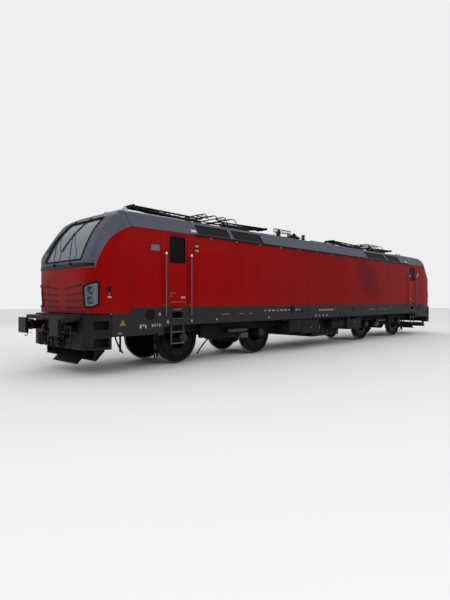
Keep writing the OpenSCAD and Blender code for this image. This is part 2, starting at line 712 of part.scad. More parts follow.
module switchgear() {
    color([0.5, 0.5, 0.52]) on_rail() {
        block([-700, -350, hatch_h + seat], [-150, 150, hatch_h + 90]);
        bar_x(-100, hatch_h + 200, 85, -650, -200);
        for (x = [-600, -250]) block([x - 20, -160, hatch_h + 80], [x + 20, -40, hatch_h + 200]);
    }
}
module antennas() {
    color("gainsboro") on_rail() both_ends() difference() {
        for (y = [-450, 450]) {
            post(end_x - 1900, y, 70, roof_h - 60, roof_h + 20);
            translate([end_x - 1900, y, roof_h + 20]) sphere(r = 50);
        }
        along(cab_x, nose_x) polygon(section(-seat, roof_h, gutter_h));
    }
}

// ---- Bogies ----
module at_bogie(end) { on_rail() rotate([0, 0, end < 0 ? 180 : 0]) translate([pivot_pitch / 2, 0, 0]) children(); }
module bogie_frame() {
    difference() {
        union() {
            both_sides() across(beam_y - beam_w / 2, beam_y + beam_w / 2)
                polygon([[-bogie_half, beam_top - 60], [-bogie_half, beam_low], [-900, beam_low], [-600, 560], [600, 560],
                    [900, beam_low], [bogie_half, beam_low], [bogie_half, beam_top - 60], [bogie_half - 60, beam_top],
                    [-bogie_half + 60, beam_top]]);
            block([-cross_x, -beam_y, 620], [cross_x, beam_y, beam_top - 30]);
            for (x = [-bogie_half, bogie_half - 110]) block([x, -beam_y, beam_low], [x + 110, beam_y, beam_top - 60]);
        }
        post(0, 0, pivot_r + running_gap, 500, beam_top + 10);
    }
}
module motor_pair() {
    for (way = [0, 180]) rotate([0, 0, way]) {
        mx = wheelbase / 2 - 610;
        gear_y = wheel_back_y - 190;
        bar_y(mx, wheel_r + 15, motor_r, -gear_y + 20, gear_y - 20);
        block([cross_x + seat, -260, 700], [mx, 260, 860]);
        difference() {
            union() {
                bar_y(wheelbase / 2, wheel_r, 235, gear_y - 25, gear_y + 110);
                bar_y(mx, wheel_r + 15, 180, gear_y - 25, gear_y + 110);
                block([mx, gear_y - 25, wheel_r - 170], [wheelbase / 2, gear_y + 110, wheel_r + 190]);
            }
            bar_y(wheelbase / 2, wheel_r, axle_r + 6, gear_y - 60, gear_y + 150);
        }
    }
}
box_r = 160;
primary_r = 72;
damper_h = 770;
module suspension() {
    out = beam_y + beam_w / 2;
    for (x = [-wheelbase / 2, wheelbase / 2]) both_sides() {
        difference() {
            union() {
                bar_y(x, wheel_r, box_r, beam_y - 75, out + 30);
                block([x - 330, beam_y - 75, wheel_r - 60], [x + 330, beam_y + 75, wheel_r + 10]);
            }
            bar_y(x, wheel_r, journal_r + running_gap, beam_y - 100, out + 8);
        }
        for (s = [-245, 245]) post(x + s, beam_y, primary_r, wheel_r + 9, beam_low - seat);
    }
    for (x = [-spring_x, spring_x]) both_sides() post(x, beam_y, spring_r, beam_top + seat, floor_h - floor_t - 8);
    both_sides() {
        bar_x(out + 90, damper_h, 45, -850, 0);
        block([-60, out + seat, damper_h - 70], [20, out + 120, damper_h + 70]);
    }
}
module wheel_profile() {
    back = wheel_back_y;
    flange_top = wheel_r + flange_h;
    polygon([[axle_r, back - 20], [axle_r + 60, back - 20], [axle_r + 70, back + 40], [wheel_r - 90, back + 45],
        [wheel_r - 70, back], [flange_top - 10, back], [flange_top, back + 12], [flange_top, back + 20],
        [flange_top - 12, back + 32], [wheel_r + 3, back + 42], [wheel_r, back + 70], [wheel_r - 4, back + rim_w - 5],
        [wheel_r - 9, back + rim_w], [wheel_r - 70, back + rim_w], [wheel_r - 90, back + 85],
        [axle_r + 70, back + 85], [axle_r + 60, back + 150], [axle_r, back + 150]]);
}
module wheelset(i) {
    x = (i < 3 ? -1 : 1) * pivot_pitch / 2 + (i % 2 == 1 ? -1 : 1) * wheelbase / 2;
    end_y = beam_y + beam_w / 2 + 7;
    color([0.35, 0.33, 0.32]) on_rail() translate([x, 0, wheel_r]) rotate([-90, 0, 0]) {
        for (flip = [0, 1]) mirror([0, 0, flip]) rotate_extrude($fn = 128) wheel_profile();
        translate([0, 0, -beam_y + 80]) cylinder(r = axle_r, h = 2 * beam_y - 160);
        translate([0, 0, -end_y]) cylinder(r = journal_r, h = 2 * end_y);
    }
}

underframe();
side_walls();
roof_hatches();
cab_roofs();
nose_shells();
windscreen_frames();
windscreens();
headlights();
cab_bulkheads();
driver_desks();
driver_seats();
headstocks();
end_platforms();
buffers();
couplings();
brake_hoses();
snow_ploughs();
handrails();
ladders();
roof_louvres();
transformer();
underfloor_boxes();
air_tanks();
roof_insulators();
busbars();
switchgear();
antennas();
pantograph_bases();
color("dimgray") at_panto(1) lower_arm_piece();  // pantograph_1_lower_arm
color("gray") at_panto(1) upper_arm_piece();  // pantograph_1_upper_arm
color("dimgray") at_panto(1) head_piece();  // pantograph_1_head
color("dimgray") at_panto(2) lower_arm_piece();  // pantograph_2_lower_arm
color("gray") at_panto(2) upper_arm_piece();  // pantograph_2_upper_arm
color("dimgray") at_panto(2) head_piece();  // pantograph_2_head
color("dimgray") at_panto(3) lower_arm_piece();  // pantograph_3_lower_arm
color("gray") at_panto(3) upper_arm_piece();  // pantograph_3_upper_arm
color("dimgray") at_panto(3) head_piece();  // pantograph_3_head
color("dimgray") at_panto(4) lower_arm_piece();  // pantograph_4_lower_arm
color("gray") at_panto(4) upper_arm_piece();  // pantograph_4_upper_arm
color("dimgray") at_panto(4) head_piece();  // pantograph_4_head
door_front_left();
door_front_right();
door_rear_left();
door_rear_right();
color([0.2, 0.19, 0.18]) at_bogie(-1) bogie_frame();  // bogie_frame_front
color([0.27, 0.26, 0.25]) at_bogie(-1) motor_pair();  // traction_motors_front
color([0.25, 0.24, 0.23]) at_bogie(-1) suspension();  // suspension_front
color([0.2, 0.19, 0.18]) at_bogie(1) bogie_frame();  // bogie_frame_rear
color([0.27, 0.26, 0.25]) at_bogie(1) motor_pair();  // traction_motors_rear
color([0.25, 0.24, 0.23]) at_bogie(1) suspension();  // suspension_rear
wheelset(1);  // wheelset_1
wheelset(2);  // wheelset_2
wheelset(3);  // wheelset_3
wheelset(4);  // wheelset_4
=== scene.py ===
# %% [markdown]
# # An electric locomotive around its measured frame
# The frame is the locomotive's engineering model: every body, wheel and hinge at its true size.
# This script dresses it. Plain nodes get rounded edges and a finish, and the small things that an
# engineering model leaves out, such as springs, wipers, lamps and marks, are modelled here.

# %% Load the frame
import json
import math

import bpy
from mathutils import Matrix, Vector


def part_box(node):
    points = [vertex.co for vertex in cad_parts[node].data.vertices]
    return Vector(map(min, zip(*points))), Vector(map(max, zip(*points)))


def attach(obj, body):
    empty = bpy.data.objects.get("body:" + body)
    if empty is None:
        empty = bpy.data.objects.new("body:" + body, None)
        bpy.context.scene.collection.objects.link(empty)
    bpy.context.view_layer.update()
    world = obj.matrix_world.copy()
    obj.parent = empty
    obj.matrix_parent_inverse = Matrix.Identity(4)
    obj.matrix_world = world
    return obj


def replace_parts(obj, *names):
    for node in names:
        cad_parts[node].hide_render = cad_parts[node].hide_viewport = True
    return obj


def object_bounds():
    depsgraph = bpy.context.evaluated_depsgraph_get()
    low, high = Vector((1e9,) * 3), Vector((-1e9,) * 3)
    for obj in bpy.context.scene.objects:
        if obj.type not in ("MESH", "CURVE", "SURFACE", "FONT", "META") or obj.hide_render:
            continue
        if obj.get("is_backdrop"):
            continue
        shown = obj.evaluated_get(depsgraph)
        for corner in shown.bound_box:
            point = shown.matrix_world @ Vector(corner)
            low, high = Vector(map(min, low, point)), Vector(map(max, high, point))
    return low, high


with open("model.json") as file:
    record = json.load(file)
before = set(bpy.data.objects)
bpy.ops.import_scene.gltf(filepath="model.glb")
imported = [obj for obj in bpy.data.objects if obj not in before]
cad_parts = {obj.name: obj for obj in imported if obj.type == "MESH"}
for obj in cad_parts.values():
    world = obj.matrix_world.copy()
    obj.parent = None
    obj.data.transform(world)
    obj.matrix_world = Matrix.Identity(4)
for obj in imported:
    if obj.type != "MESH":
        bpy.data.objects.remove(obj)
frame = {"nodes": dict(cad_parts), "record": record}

cad_low, cad_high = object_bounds()
print("frame", [round(v, 3) for v in cad_high - cad_low], "m,", len(frame["nodes"]), "nodes")

# %% [markdown]
# ## Where things are
# A railway drawing gives heights above the rail top, so the pieces are drawn that way and lifted at
# the end. The other values are read from the frame, so the pieces follow it if it is packed again.

# %% Places read from the frame
RAIL = 0.03  # the wheel flanges reach this far below the rail top
wall_low, wall_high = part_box("side_walls")
SEAM_X, HALF_W = wall_high.x, wall_high.y
FLOOR_H, GUTTER_H = wall_low.z - RAIL, wall_high.z - RAIL
END_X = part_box("buffers")[1].x
NOSE_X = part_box("nose_shells")[1].x
NOSE_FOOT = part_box("nose_shells")[0].z - RAIL
STOCK_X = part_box("end_platforms")[0].x
CAB_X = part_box("cab_bulkheads")[1].x - 0.048
HATCH_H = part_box("roof_hatches")[1].z - RAIL
PIVOT_X = 4.75  # from the middle to each bogie's pivot
WHEEL_R = (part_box("wheelset_4")[1].z - RAIL) / 2 + RAIL / 2
AXLE_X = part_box("wheelset_4")[1].x / 2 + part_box("wheelset_4")[0].x / 2
print("ends", END_X, "nose", round(NOSE_X, 3), "seam", SEAM_X, "axle", round(AXLE_X, 3), "wheel", WHEEL_R)

SAME = Matrix.Identity(4)
TURN = Matrix.Rotation(math.pi, 4, "Z")  # from one end of the locomotive to the other
FLIP = Matrix.Scale(-1, 4, (0, 1, 0))  # from one side to the other
BOTH_ENDS = [SAME, TURN]
BOTH_SIDES = [SAME, FLIP]
CORNERS = [SAME, FLIP, TURN, TURN @ FLIP]


def at(x=0, y=0, z=0):
    return Matrix.Translation((x, y, z))


# %% [markdown]
# ## Helpers for modelling
# Each one does by script what a modeller does by hand: add a primitive, shape it in edit mode,
# apply a modifier, copy what repeats. An operator works on whatever is selected, so each helper
# first clears the selection.


# %% Selection and edit mode
def only(obj):
    if bpy.context.object and bpy.context.object.mode != "OBJECT":
        bpy.ops.object.mode_set(mode="OBJECT")
    bpy.ops.object.select_all(action="DESELECT")
    if obj:
        obj.select_set(True)
        bpy.context.view_layer.objects.active = obj
    return obj


def added(name):
    """Names the primitive that was just added and bakes its place into its mesh"""
    obj = bpy.context.object
    obj.name = obj.data.name = name
    bpy.ops.object.transform_apply(location=True, rotation=True, scale=True)
    return obj


def pick(obj, test):
    """Enters edit mode with only the faces selected whose centre and normal pass the test"""
    only(obj)
    bpy.ops.object.mode_set(mode="EDIT")
    bpy.ops.mesh.select_mode(type="FACE")
    bpy.ops.mesh.select_all(action="DESELECT")
    bpy.ops.object.mode_set(mode="OBJECT")
    for face in obj.data.polygons:
        face.select = test(face.center, face.normal)
    bpy.ops.object.mode_set(mode="EDIT")


def done(obj):
    bpy.ops.object.mode_set(mode="OBJECT")
    return obj


def tidy_normals(obj, merge=1e-5):
    pick(obj, lambda c, n: True)
    bpy.ops.mesh.remove_doubles(threshold=merge)
    bpy.ops.mesh.normals_make_consistent(inside=False)
    return done(obj)


def modify(obj, kind, **settings):
    """Adds one modifier and applies it"""
    only(obj)
    modifier = obj.modifiers.new(kind.lower(), kind)
    for key, value in settings.items():
        setattr(modifier, key, value)
    bpy.ops.object.modifier_apply(modifier=modifier.name)
    return obj


def soften(obj, width=0.004, segments=2, angle=40):
    return modify(obj, "BEVEL", width=width, segments=segments, limit_method="ANGLE",
                  angle_limit=math.radians(angle), use_clamp_overlap=True)


# %% Solids
def block(name, low, high, edge=0.004, segments=2):
    """A block between two corners with rounded edges"""
    low, high = Vector(low), Vector(high)
    only(None)
    bpy.ops.mesh.primitive_cube_add(size=1, location=(low + high) / 2, scale=high - low)
    return soften(added(name), edge, segments)


def turned(name, profile, foot=(0, 0, 0), way=(0, 0, 1), sides=32):
    """A turned piece: a disc extruded along its axis and resized to each (radius, height)"""
    only(None)
    radius, height = profile[0]
    bpy.ops.mesh.primitive_circle_add(vertices=sides, radius=radius, fill_type="NGON",
                                      location=(0, 0, height))
    obj = added(name)
    pick(obj, lambda c, n: True)
    for r, h in profile[1:]:
        bpy.ops.mesh.extrude_region_move(TRANSFORM_OT_translate={"value": (0, 0, h - height)})
        bpy.ops.transform.resize(value=(r / radius, r / radius, 1), center_override=(0, 0, h))
        radius, height = r, h
    bpy.ops.mesh.select_all(action="SELECT")
    bpy.ops.mesh.normals_make_consistent(inside=False)
    done(obj)
    spin = Vector((0, 0, 1)).rotation_difference(Vector(way)).to_matrix().to_4x4()
    obj.data.transform(Matrix.Translation(foot) @ spin)
    return obj


def pipe(name, points, radius, closed=False, rings=3, round_path=False):
    """A round bar that follows its points, made as a curve and turned into a mesh"""
    curve = bpy.data.curves.new(name, "CURVE")
    curve.dimensions = "3D"
    spline = curve.splines.new("NURBS" if round_path else "POLY")
    spline.points.add(len(points) - 1)
    for point, place in zip(spline.points, points):
        point.co = (*place, 1)
    spline.use_cyclic_u = closed
    if round_path:
        spline.order_u, spline.use_endpoint_u, spline.resolution_u = 4, True, 4
    curve.bevel_depth, curve.bevel_resolution, curve.use_fill_caps = radius, rings, True
    obj = bpy.data.objects.new(name, curve)
    bpy.context.collection.objects.link(obj)
    only(obj)
    bpy.ops.object.convert(target="MESH")
    return tidy_normals(bpy.context.object)


def framed(name, low, high, rim, depth, axis, rounded=0.0, segments=5):
    """A flat plate with a raised rim: its outer face is inset and pushed in. axis is 'X' or 'Y',
    and the outer face looks along it, the way that high lies from low"""
    low, high = Vector(low), Vector(high)
    index = "XYZ".index(axis)
    way = 1 if high[index] > low[index] else -1
    for i in range(3):
        if low[i] > high[i]:
            low[i], high[i] = high[i], low[i]
    only(None)
    bpy.ops.mesh.primitive_cube_add(size=1, location=(low + high) / 2, scale=high - low)
    obj = added(name)
    if rounded:
        bpy.ops.object.mode_set(mode="EDIT")
        bpy.ops.mesh.select_mode(type="EDGE")
        bpy.ops.mesh.select_all(action="DESELECT")
        bpy.ops.object.mode_set(mode="OBJECT")
        for edge in obj.data.edges:
            a, b = (obj.data.vertices[v].co for v in edge.vertices)
            edge.select = abs((a - b)[index]) > 0.5 * (a - b).length
        bpy.ops.object.mode_set(mode="EDIT")
        bpy.ops.mesh.bevel(offset=rounded, segments=segments, affect="EDGES")
        done(obj)
    pick(obj, lambda c, n: n[index] * way > 0.9)
    bpy.ops.mesh.inset(thickness=rim)
    push = [0, 0, 0]
    push[index] = -way * depth
    bpy.ops.mesh.extrude_region_move(TRANSFORM_OT_translate={"value": push})
    return done(obj)


# %% Copies, and handing a piece to its body
def spread(obj, moves):
    """Copies the piece by each move, each copy with its own mesh, and joins them into one object"""
    name, first = obj.name, obj.data
    parts = []
    for move in moves:
        mesh = first.copy()
        mesh.transform(move)
        if move.determinant() < 0:
            mesh.flip_normals()
        part = bpy.data.objects.new(name + "_part", mesh)
        bpy.context.collection.objects.link(part)
        parts.append(part)
    bpy.data.objects.remove(obj)
    return joined(name, parts)


def joined(name, parts):
    only(parts[0])
    for part in parts:
        part.select_set(True)
    if len(parts) > 1:
        bpy.ops.object.join()
    obj = bpy.context.object
    obj.name = obj.data.name = name
    return obj


made = []


def hand_over(obj, body, slot, finish, smooth=35, lift=RAIL):
    """Lifts the piece from rail height to the frame's height, shades it and rides it on its body"""
    obj.data.transform(at(z=lift))
    only(obj)
    bpy.ops.object.shade_smooth_by_angle(angle=math.radians(smooth))
    obj.data.materials.clear()
    obj.data.materials.append(finish.material)
    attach(obj, body)
    made.append(obj)
    return obj


def fit(obj, moves, slot, finish, smooth=35):
    """Copies a piece to its places on the carbody and hands it over"""
    return hand_over(spread(obj, moves), "carbody", slot, finish, smooth)


# %% [markdown]
# ## A way to write finishes
# A finish is a node tree. Writing it as sums keeps it readable: `Value` stands for one socket and
# turns +, -, * and / into Math nodes, and `Finish.add` makes any other node. Every pattern reads
# Object coordinates, which are metres on the real thing, so a scale means the same on every piece.


# %% Shader helpers
class Value:
    def __init__(self, finish, socket):
        self.finish, self.socket = finish, socket

    def math(self, operation, a, b):
        return self.finish.add("ShaderNodeMath", {"operation": operation}, {0: a, 1: b})

    def __add__(self, other):
        return self.math("ADD", self, other)

    def __sub__(self, other):
        return self.math("SUBTRACT", self, other)

    def __rsub__(self, other):
        return self.math("SUBTRACT", other, self)

    def __mul__(self, other):
        return self.math("MULTIPLY", self, other)

    def __truediv__(self, other):
        return self.math("DIVIDE", self, other)

    def __gt__(self, other):
        return self.math("GREATER_THAN", self, other)

    __radd__, __rmul__ = __add__, __mul__

    def between(self, low, high):
        """0 below low, 1 above high, and a smooth step between"""
        return self.finish.add("ShaderNodeMapRange", {"interpolation_type": "SMOOTHSTEP"},
                               {0: self, 1: low, 2: high})


class Finish:
    def __init__(self, name, roughness=0.5, metallic=0.0, **sockets):
        self.material = bpy.data.materials.new(name)
        self.material.use_nodes = True
        self.tree = self.material.node_tree
        self.shader = self.tree.nodes["Principled BSDF"]
        self.place = self.add("ShaderNodeTexCoord", out="Object")
        self.x, self.y, self.z = (self.add("ShaderNodeSeparateXYZ", {}, {0: self.place}, out=i)
                                  for i in range(3))
        self.set(Roughness=roughness, Metallic=metallic, **sockets)

    def add(self, kind, settings=None, inputs=None, out=0):
        node = self.tree.nodes.new(kind)
        for key, value in (settings or {}).items():
            setattr(node, key, value)
        for key, value in (inputs or {}).items():
            self.fill(node.inputs[key], value)
        return Value(self, node.outputs[out])

    def fill(self, socket, value):
        if isinstance(value, Value):
            self.tree.links.new(value.socket, socket)
        else:
            socket.default_value = value

    def set(self, **sockets):
        for key, value in sockets.items():
            self.fill(self.shader.inputs[key.replace("_", " ")], value)

    def noise(self, scale, detail=3.0, stretch=(1, 1, 1)):
        place = self.add("ShaderNodeMapping", {}, {0: self.place, 3: stretch})
        return self.add("ShaderNodeTexNoise", {}, {"Vector": place, "Scale": scale, "Detail": detail})

    def mix(self, factor, a, b):
        return self.add("ShaderNodeMix", {"data_type": "RGBA"}, {0: factor, 6: a, 7: b}, out=2)

    def bump(self, height, strength=0.2, distance=0.002):
        self.set(Normal=self.add("ShaderNodeBump", {},
                                 {"Height": height, "Strength": strength, "Distance": distance}))


def tint(r, g, b, share=1.0):
    """A colour given as on a screen, 0 to 255, made linear for a socket"""
    return (*(share * (v / 255) ** 2.2 for v in (r, g, b)), 1)


def painted(name, colour, roughness=0.4, metallic=0.0, streak=0.25, dust=0.3, dust_top=1.2,
            dust_colour=(92, 78, 62),
            grain=120, bump=0.12, coat=0.0, shine=0.12):
    """Paint that has been outdoors: cloudy, streaked downwards, and dusty near the track"""
    finish = Finish(name, metallic=metallic, Coat_Weight=coat, Specular_IOR_Level=shine)
    cloud = finish.noise(0.9, 4)
    runs = finish.noise(7, 5, (1, 1, 0.06)).between(0.45, 0.75)
    spots = finish.noise(14, 6).between(0.5, 0.8)
    base = finish.mix(cloud, tint(*colour), tint(*colour, 0.74))
    base = finish.mix(runs * streak, base, tint(*(0.55 * v + 14 for v in colour)))
    low = (1 - finish.z.between(0.25, dust_top)) * dust
    grime = low * (0.45 + 0.9 * finish.noise(2.3, 6)) + spots * dust * 0.25
    base = finish.mix(grime, base, tint(*dust_colour))
    finish.set(Base_Color=base,
               Roughness=roughness + 0.22 * grime + 0.16 * (finish.noise(5, 5) - 0.5) + 0.1 * runs)
    finish.bump(finish.noise(grain, 4), bump, 0.0015)
    finish.base = base
    return finish


# %% [markdown]
# ## The finishes
# Gloss red on the body, grey on the roof and the sill, near-black running gear under brown brake
# dust. From its middle onwards the long wall's red is painted darker. This is painted shade, because
# near the cab the wall shows a brighter reflection. A soft dark patch of colour lies over one part of it.

# %% Painted finishes
red = painted("body_red_paint", (136, 5, 7), 0.34, streak=0.3, dust=0.12, dust_top=2.0, bump=0.03,
              coat=0.02, shine=0.03)
wall_red = painted("wall_red_paint", (136, 5, 7), 0.36, streak=0.38, dust=0.14, dust_top=2.0, bump=0.03,
                   coat=0.02, shine=0.03)
along = wall_red.x * (1 - 2 * (wall_red.y > 0))  # runs from the cab at -X on either side
# Painted shade: from the middle of the wall onwards its red is darkened towards tint(98, 18, 20), standing in
# for the brighter reflection that the wall shows near the cab.
painted_wall_shade = along.between(-4.6, -0.8) * 0.42
# A soft dark patch of colour, centred 2.6 m along the wall and 2.5 m up, is mixed in towards tint(46, 22, 24).
near = (along - 2.6 + 0.6 * (wall_red.z - 2.5)) / 0.7
cloud_up = (wall_red.z - 2.5) / 0.75
dark_patch = (1 - (near * near + cloud_up * cloud_up + 0.5 * wall_red.noise(2.0, 3)).between(0.0, 2.4)) * 0.55
wall_red.set(Base_Color=wall_red.mix(dark_patch, wall_red.mix(painted_wall_shade, wall_red.base, tint(98, 18, 20)),
                                     tint(46, 22, 24)))

roof_grey = painted("roof_grey_paint", (80, 84, 97), 0.42, streak=0.35, dust=0.1, dust_top=3.0,
                    bump=0.05, coat=0.02, shine=0.06)
sill_grey = painted("sill_grey_paint", (42, 40, 41), 0.5, streak=0.35, dust=0.3, dust_top=1.35,
                    dust_colour=(56, 50, 44))
end_grey = painted("end_grey_paint", (32, 30, 34), 0.5, streak=0.3, dust=0.35, dust_top=1.3,
                   dust_colour=(46, 41, 37))
dark_steel = painted("bogie_paint", (20, 19, 20), 0.66, streak=0.2, dust=0.4, dust_top=1.3,
                     dust_colour=(38, 33, 29),
                     bump=0.3, grain=70)
box_grey = painted("box_paint", (28, 27, 28), 0.58, streak=0.3, dust=0.4, dust_top=1.1,
                   dust_colour=(48, 43, 38))
damper_grey = painted("damper_paint", (72, 73, 74), 0.5, streak=0.3, dust=0.35, dust_top=1.2)
black = painted("black_paint", (14, 14, 15), 0.45, streak=0.1, dust=0.2, dust_top=1.2,
                dust_colour=(46, 42, 38))
gear_grey = painted("roof_gear_paint", (26, 25, 26), 0.52, metallic=0.1, streak=0.3, dust=0.0, bump=0.2)
louvre_dark = painted("louvre_paint", (30, 32, 36), 0.5, streak=0.3, dust=0.0)
rim_grey = painted("panel_rim_paint", (98, 101, 110), 0.4, streak=0.3, dust=0.0, bump=0.05)
cab_grey = painted("cab_lining", (150, 150, 148), 0.6, streak=0.0, dust=0.0, bump=0.05)
desk_dark = painted("desk_moulding", (36, 37, 40), 0.6, streak=0.0, dust=0.0, grain=900, bump=0.4)
white = painted("white_marking", (150, 148, 144), 0.5, streak=0.3, dust=0.3, dust_top=1.4)
yellow = painted("yellow_marking", (128, 102, 24), 0.5, streak=0.2, dust=0.35, dust_top=1.5)
rubber = painted("rubber", (14, 14, 14), 0.7, streak=0.0, dust=0.25, dust_top=1.1,
                 dust_colour=(40, 36, 33), grain=300, bump=0.3)
print("painted finishes ready")

# %% [markdown]
# Bare metals differ in how rough and how clean they are. A rolling tread is polished by the rail
# while the web beside it rusts, so the wheel's finish looks at the distance from its own axle.


# %% Metals
def metal(name, colour, roughness, rust=0.2, brushed=(1, 1, 1), bump=0.15):
    finish = Finish(name, metallic=0.9)
    scratches = finish.noise(60, 5, brushed)
    spots = finish.noise(9, 6).between(0.52, 0.75) * rust
    base = finish.mix(scratches, tint(*colour), tint(*colour, 0.7))
    finish.set(Base_Color=finish.mix(spots, base, tint(92, 58, 38)),
               Roughness=roughness + 0.15 * scratches + 0.3 * spots,
               Metallic=0.9 - 0.7 * spots)
    finish.bump(scratches, bump, 0.0008)
    return finish


bright = metal("brushed_steel", (96, 95, 94), 0.45, rust=0.05, brushed=(1, 1, 0.08))
worn = metal("worn_steel", (62, 60, 58), 0.42, rust=0.45)
greased = metal("greased_steel", (30, 28, 27), 0.4, rust=0.25, bump=0.3)
chrome = metal("lamp_reflector", (96, 100, 104), 0.2, rust=0.0, bump=0.0)
contact = metal("contact_strip", (38, 36, 34), 0.35, rust=0.1, brushed=(1, 0.05, 1))
polished = metal("polished_steel", (226, 220, 212), 0.22, rust=0.0, bump=0.05)
bar_metal = metal("bus_bar", (84, 76, 64), 0.38, rust=0.15)


def wheel_finish(name, axle_x):
    finish = Finish(name, metallic=0.6, Specular_IOR_Level=0.15)
    dx, dz = finish.x - axle_x, finish.z - (WHEEL_R + RAIL)
    radius = finish.add("ShaderNodeMath", {"operation": "SQRT"}, {0: dx * dx + dz * dz})
    tread = radius.between(WHEEL_R - 0.012, WHEEL_R - 0.004)
    dirt = finish.noise(6, 6)
    web = finish.mix(dirt, tint(20, 18, 18), tint(38, 32, 28))
    web = finish.mix((1 - radius.between(0.1, 0.2)) * 0.6, web, tint(40, 38, 36))
    finish.set(Base_Color=finish.mix(tread, web, tint(130, 128, 124)), Metallic=0.25 + 0.65 * tread,
               Roughness=0.72 - 0.45 * tread + 0.12 * dirt)
    finish.bump(finish.noise(90, 4), 0.25, 0.0015)
    return finish


# %% [markdown]
# Glass, lamp lenses, ribbed insulators, the chequered tread of the end platform and the woven seat
# cover each need their own tree. The chequer and the weave are waves multiplied together.

# %% Glass and special finishes
glass = Finish("tinted_glass", roughness=0.06, IOR=1.45, Coat_Weight=0.25, Coat_Roughness=0.03)
film = glass.noise(1.6, 4)
glass.set(Base_Color=glass.mix(film, tint(78, 92, 106), tint(40, 52, 64)), Alpha=0.84 + 0.14 * film)
dark_glass = Finish("door_glass", roughness=0.4, Specular_IOR_Level=0.06)
dark_glass.set(Base_Color=dark_glass.mix(dark_glass.noise(3, 3), tint(6, 7, 8), tint(13, 15, 17)))
lens = Finish("lamp_lens", roughness=0.08, Coat_Weight=0.2)
rings = lens.add("ShaderNodeTexWave", {"wave_type": "BANDS", "bands_direction": "Z"},
                 {"Vector": lens.place, "Scale": 18.0})
lens.set(Base_Color=lens.mix(rings, tint(30, 36, 40), tint(84, 94, 100)))
lens.bump(rings, 0.3, 0.002)
silver = painted("lamp_housing", (98, 112, 120), 0.34, metallic=0.2, streak=0.1, dust=0.1, bump=0.03)
ceramic = painted("insulator_brown", (44, 26, 22), 0.25, streak=0.2, dust=0.0, bump=0.03, coat=0.3)
tread_plate = painted("tread_plate", (30, 30, 32), 0.5, streak=0.1, dust=0.35, dust_top=1.6)
lines = [tread_plate.add("ShaderNodeTexWave", {"bands_direction": "DIAGONAL"},
                         {"Vector": spin, "Scale": 14.0})
         for spin in (tread_plate.place, tread_plate.add("ShaderNodeMapping", {},
                                                         {0: tread_plate.place, 3: (1, -1, 1)}))]
tread_plate.bump((lines[0] * lines[1]).between(0.5, 0.7), 0.9, 0.004)
cloth = Finish("seat_cloth", roughness=0.9, Sheen_Weight=0.4)
warp, weft = (cloth.add("ShaderNodeTexWave", {"bands_direction": d},
                        {"Vector": cloth.place, "Scale": 90.0}) for d in "YZ")
cloth.set(Base_Color=cloth.mix(warp * weft, tint(24, 28, 40), tint(52, 58, 76)))
cloth.bump(warp * weft, 0.6, 0.002)
antenna_white = painted("antenna_white", (196, 196, 192), 0.45, streak=0.2, dust=0.0)
print("finishes made:", len(bpy.data.materials))

# %% [markdown]
# ## Camera, floor and light
# The camera stands off the near corner at a standing person's eye height, with a wide lens. The
# floor is plain and pale. Large soft lights take the place of an overcast sky.

# %% Camera
eye = bpy.data.cameras.new("eye")
eye.lens, eye.sensor_width, eye.shift_x = 26.86, 36.0, -0.0725
camera = bpy.data.objects.new("eye", eye)
camera.location = (-13.496, -10.504, 1.646 + RAIL)
camera.rotation_euler = (math.radians(90), 0, math.radians(-48.25))
bpy.context.collection.objects.link(camera)
bpy.context.scene.camera = camera

# %% Floor, sky and lights
only(None)
bpy.ops.mesh.primitive_plane_add(size=160, location=(0, 0, 0))
floor = added("studio_floor")
pale = Finish("studio_floor", roughness=0.9)
pale.set(Base_Color=pale.mix(pale.noise(0.3, 2), (0.80, 0.80, 0.80, 1), (0.78, 0.78, 0.78, 1)))
floor.data.materials.append(pale.material)
floor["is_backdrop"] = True

sky = bpy.data.worlds.new("sky")
sky.use_nodes = True
sky.node_tree.nodes["Background"].inputs[0].default_value = (0.86, 0.865, 0.87, 1)
sky.node_tree.nodes["Background"].inputs[1].default_value = 1.0
bpy.context.scene.world = sky
bpy.context.scene.view_settings.view_transform = "Standard"  # colours come out as they are given


def soft_light(name, place, target, size, power):
    light = bpy.data.lights.new(name, "AREA")
    light.shape, light.size, light.energy = "SQUARE", size, power
    obj = bpy.data.objects.new(name, light)
    obj.location = place
    obj.rotation_euler = (Vector(target) - Vector(place)).to_track_quat("-Z", "Y").to_euler()
    bpy.context.collection.objects.link(obj)


soft_light("key", (-16, -12, 12), (-5, 0, 1.5), 9, 700)
soft_light("side", (6, -18, 10), (3, 0, 1.5), 10, 500)
soft_light("back", (4, 16, 12), (0, 0, 1.5), 10, 500)
print("camera, floor and lights set")

# %% [markdown]
# ## Dressing the plain nodes
# Many frame nodes already have the right shape and only lack what catches the light: a small
# rounding on each edge and smooth shading over curves. The frame's own mesh may not change, so a
# copy is merged, its flat triangles are joined into larger faces, its edges are bevelled, and the
# copy stands for the node.

# %% Rounded copies of nodes
record = frame["record"]
body_of = {node: body for body, nodes in record["behaviour"]["bodies"].items() for node in nodes}
slot_of = {part["node"]: part["material_slot"] for part in record["subparts"]}


def skin(node, finish, edge=0.004, angle=38):
    obj = bpy.data.objects.new(node + "_skin", frame["nodes"][node].data.copy())
    bpy.context.collection.objects.link(obj)
    pick(obj, lambda c, n: True)
    bpy.ops.mesh.remove_doubles(threshold=2e-5)
    bpy.ops.mesh.dissolve_limited(angle_limit=math.radians(0.5))
    done(obj)
    if edge:
        soften(obj, edge, 2, 32)
    hand_over(obj, body_of[node], slot_of[node], finish, angle, lift=0)
    modify(obj, "WEIGHTED_NORMAL", keep_sharp=True)
    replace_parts(obj, node)
    return obj


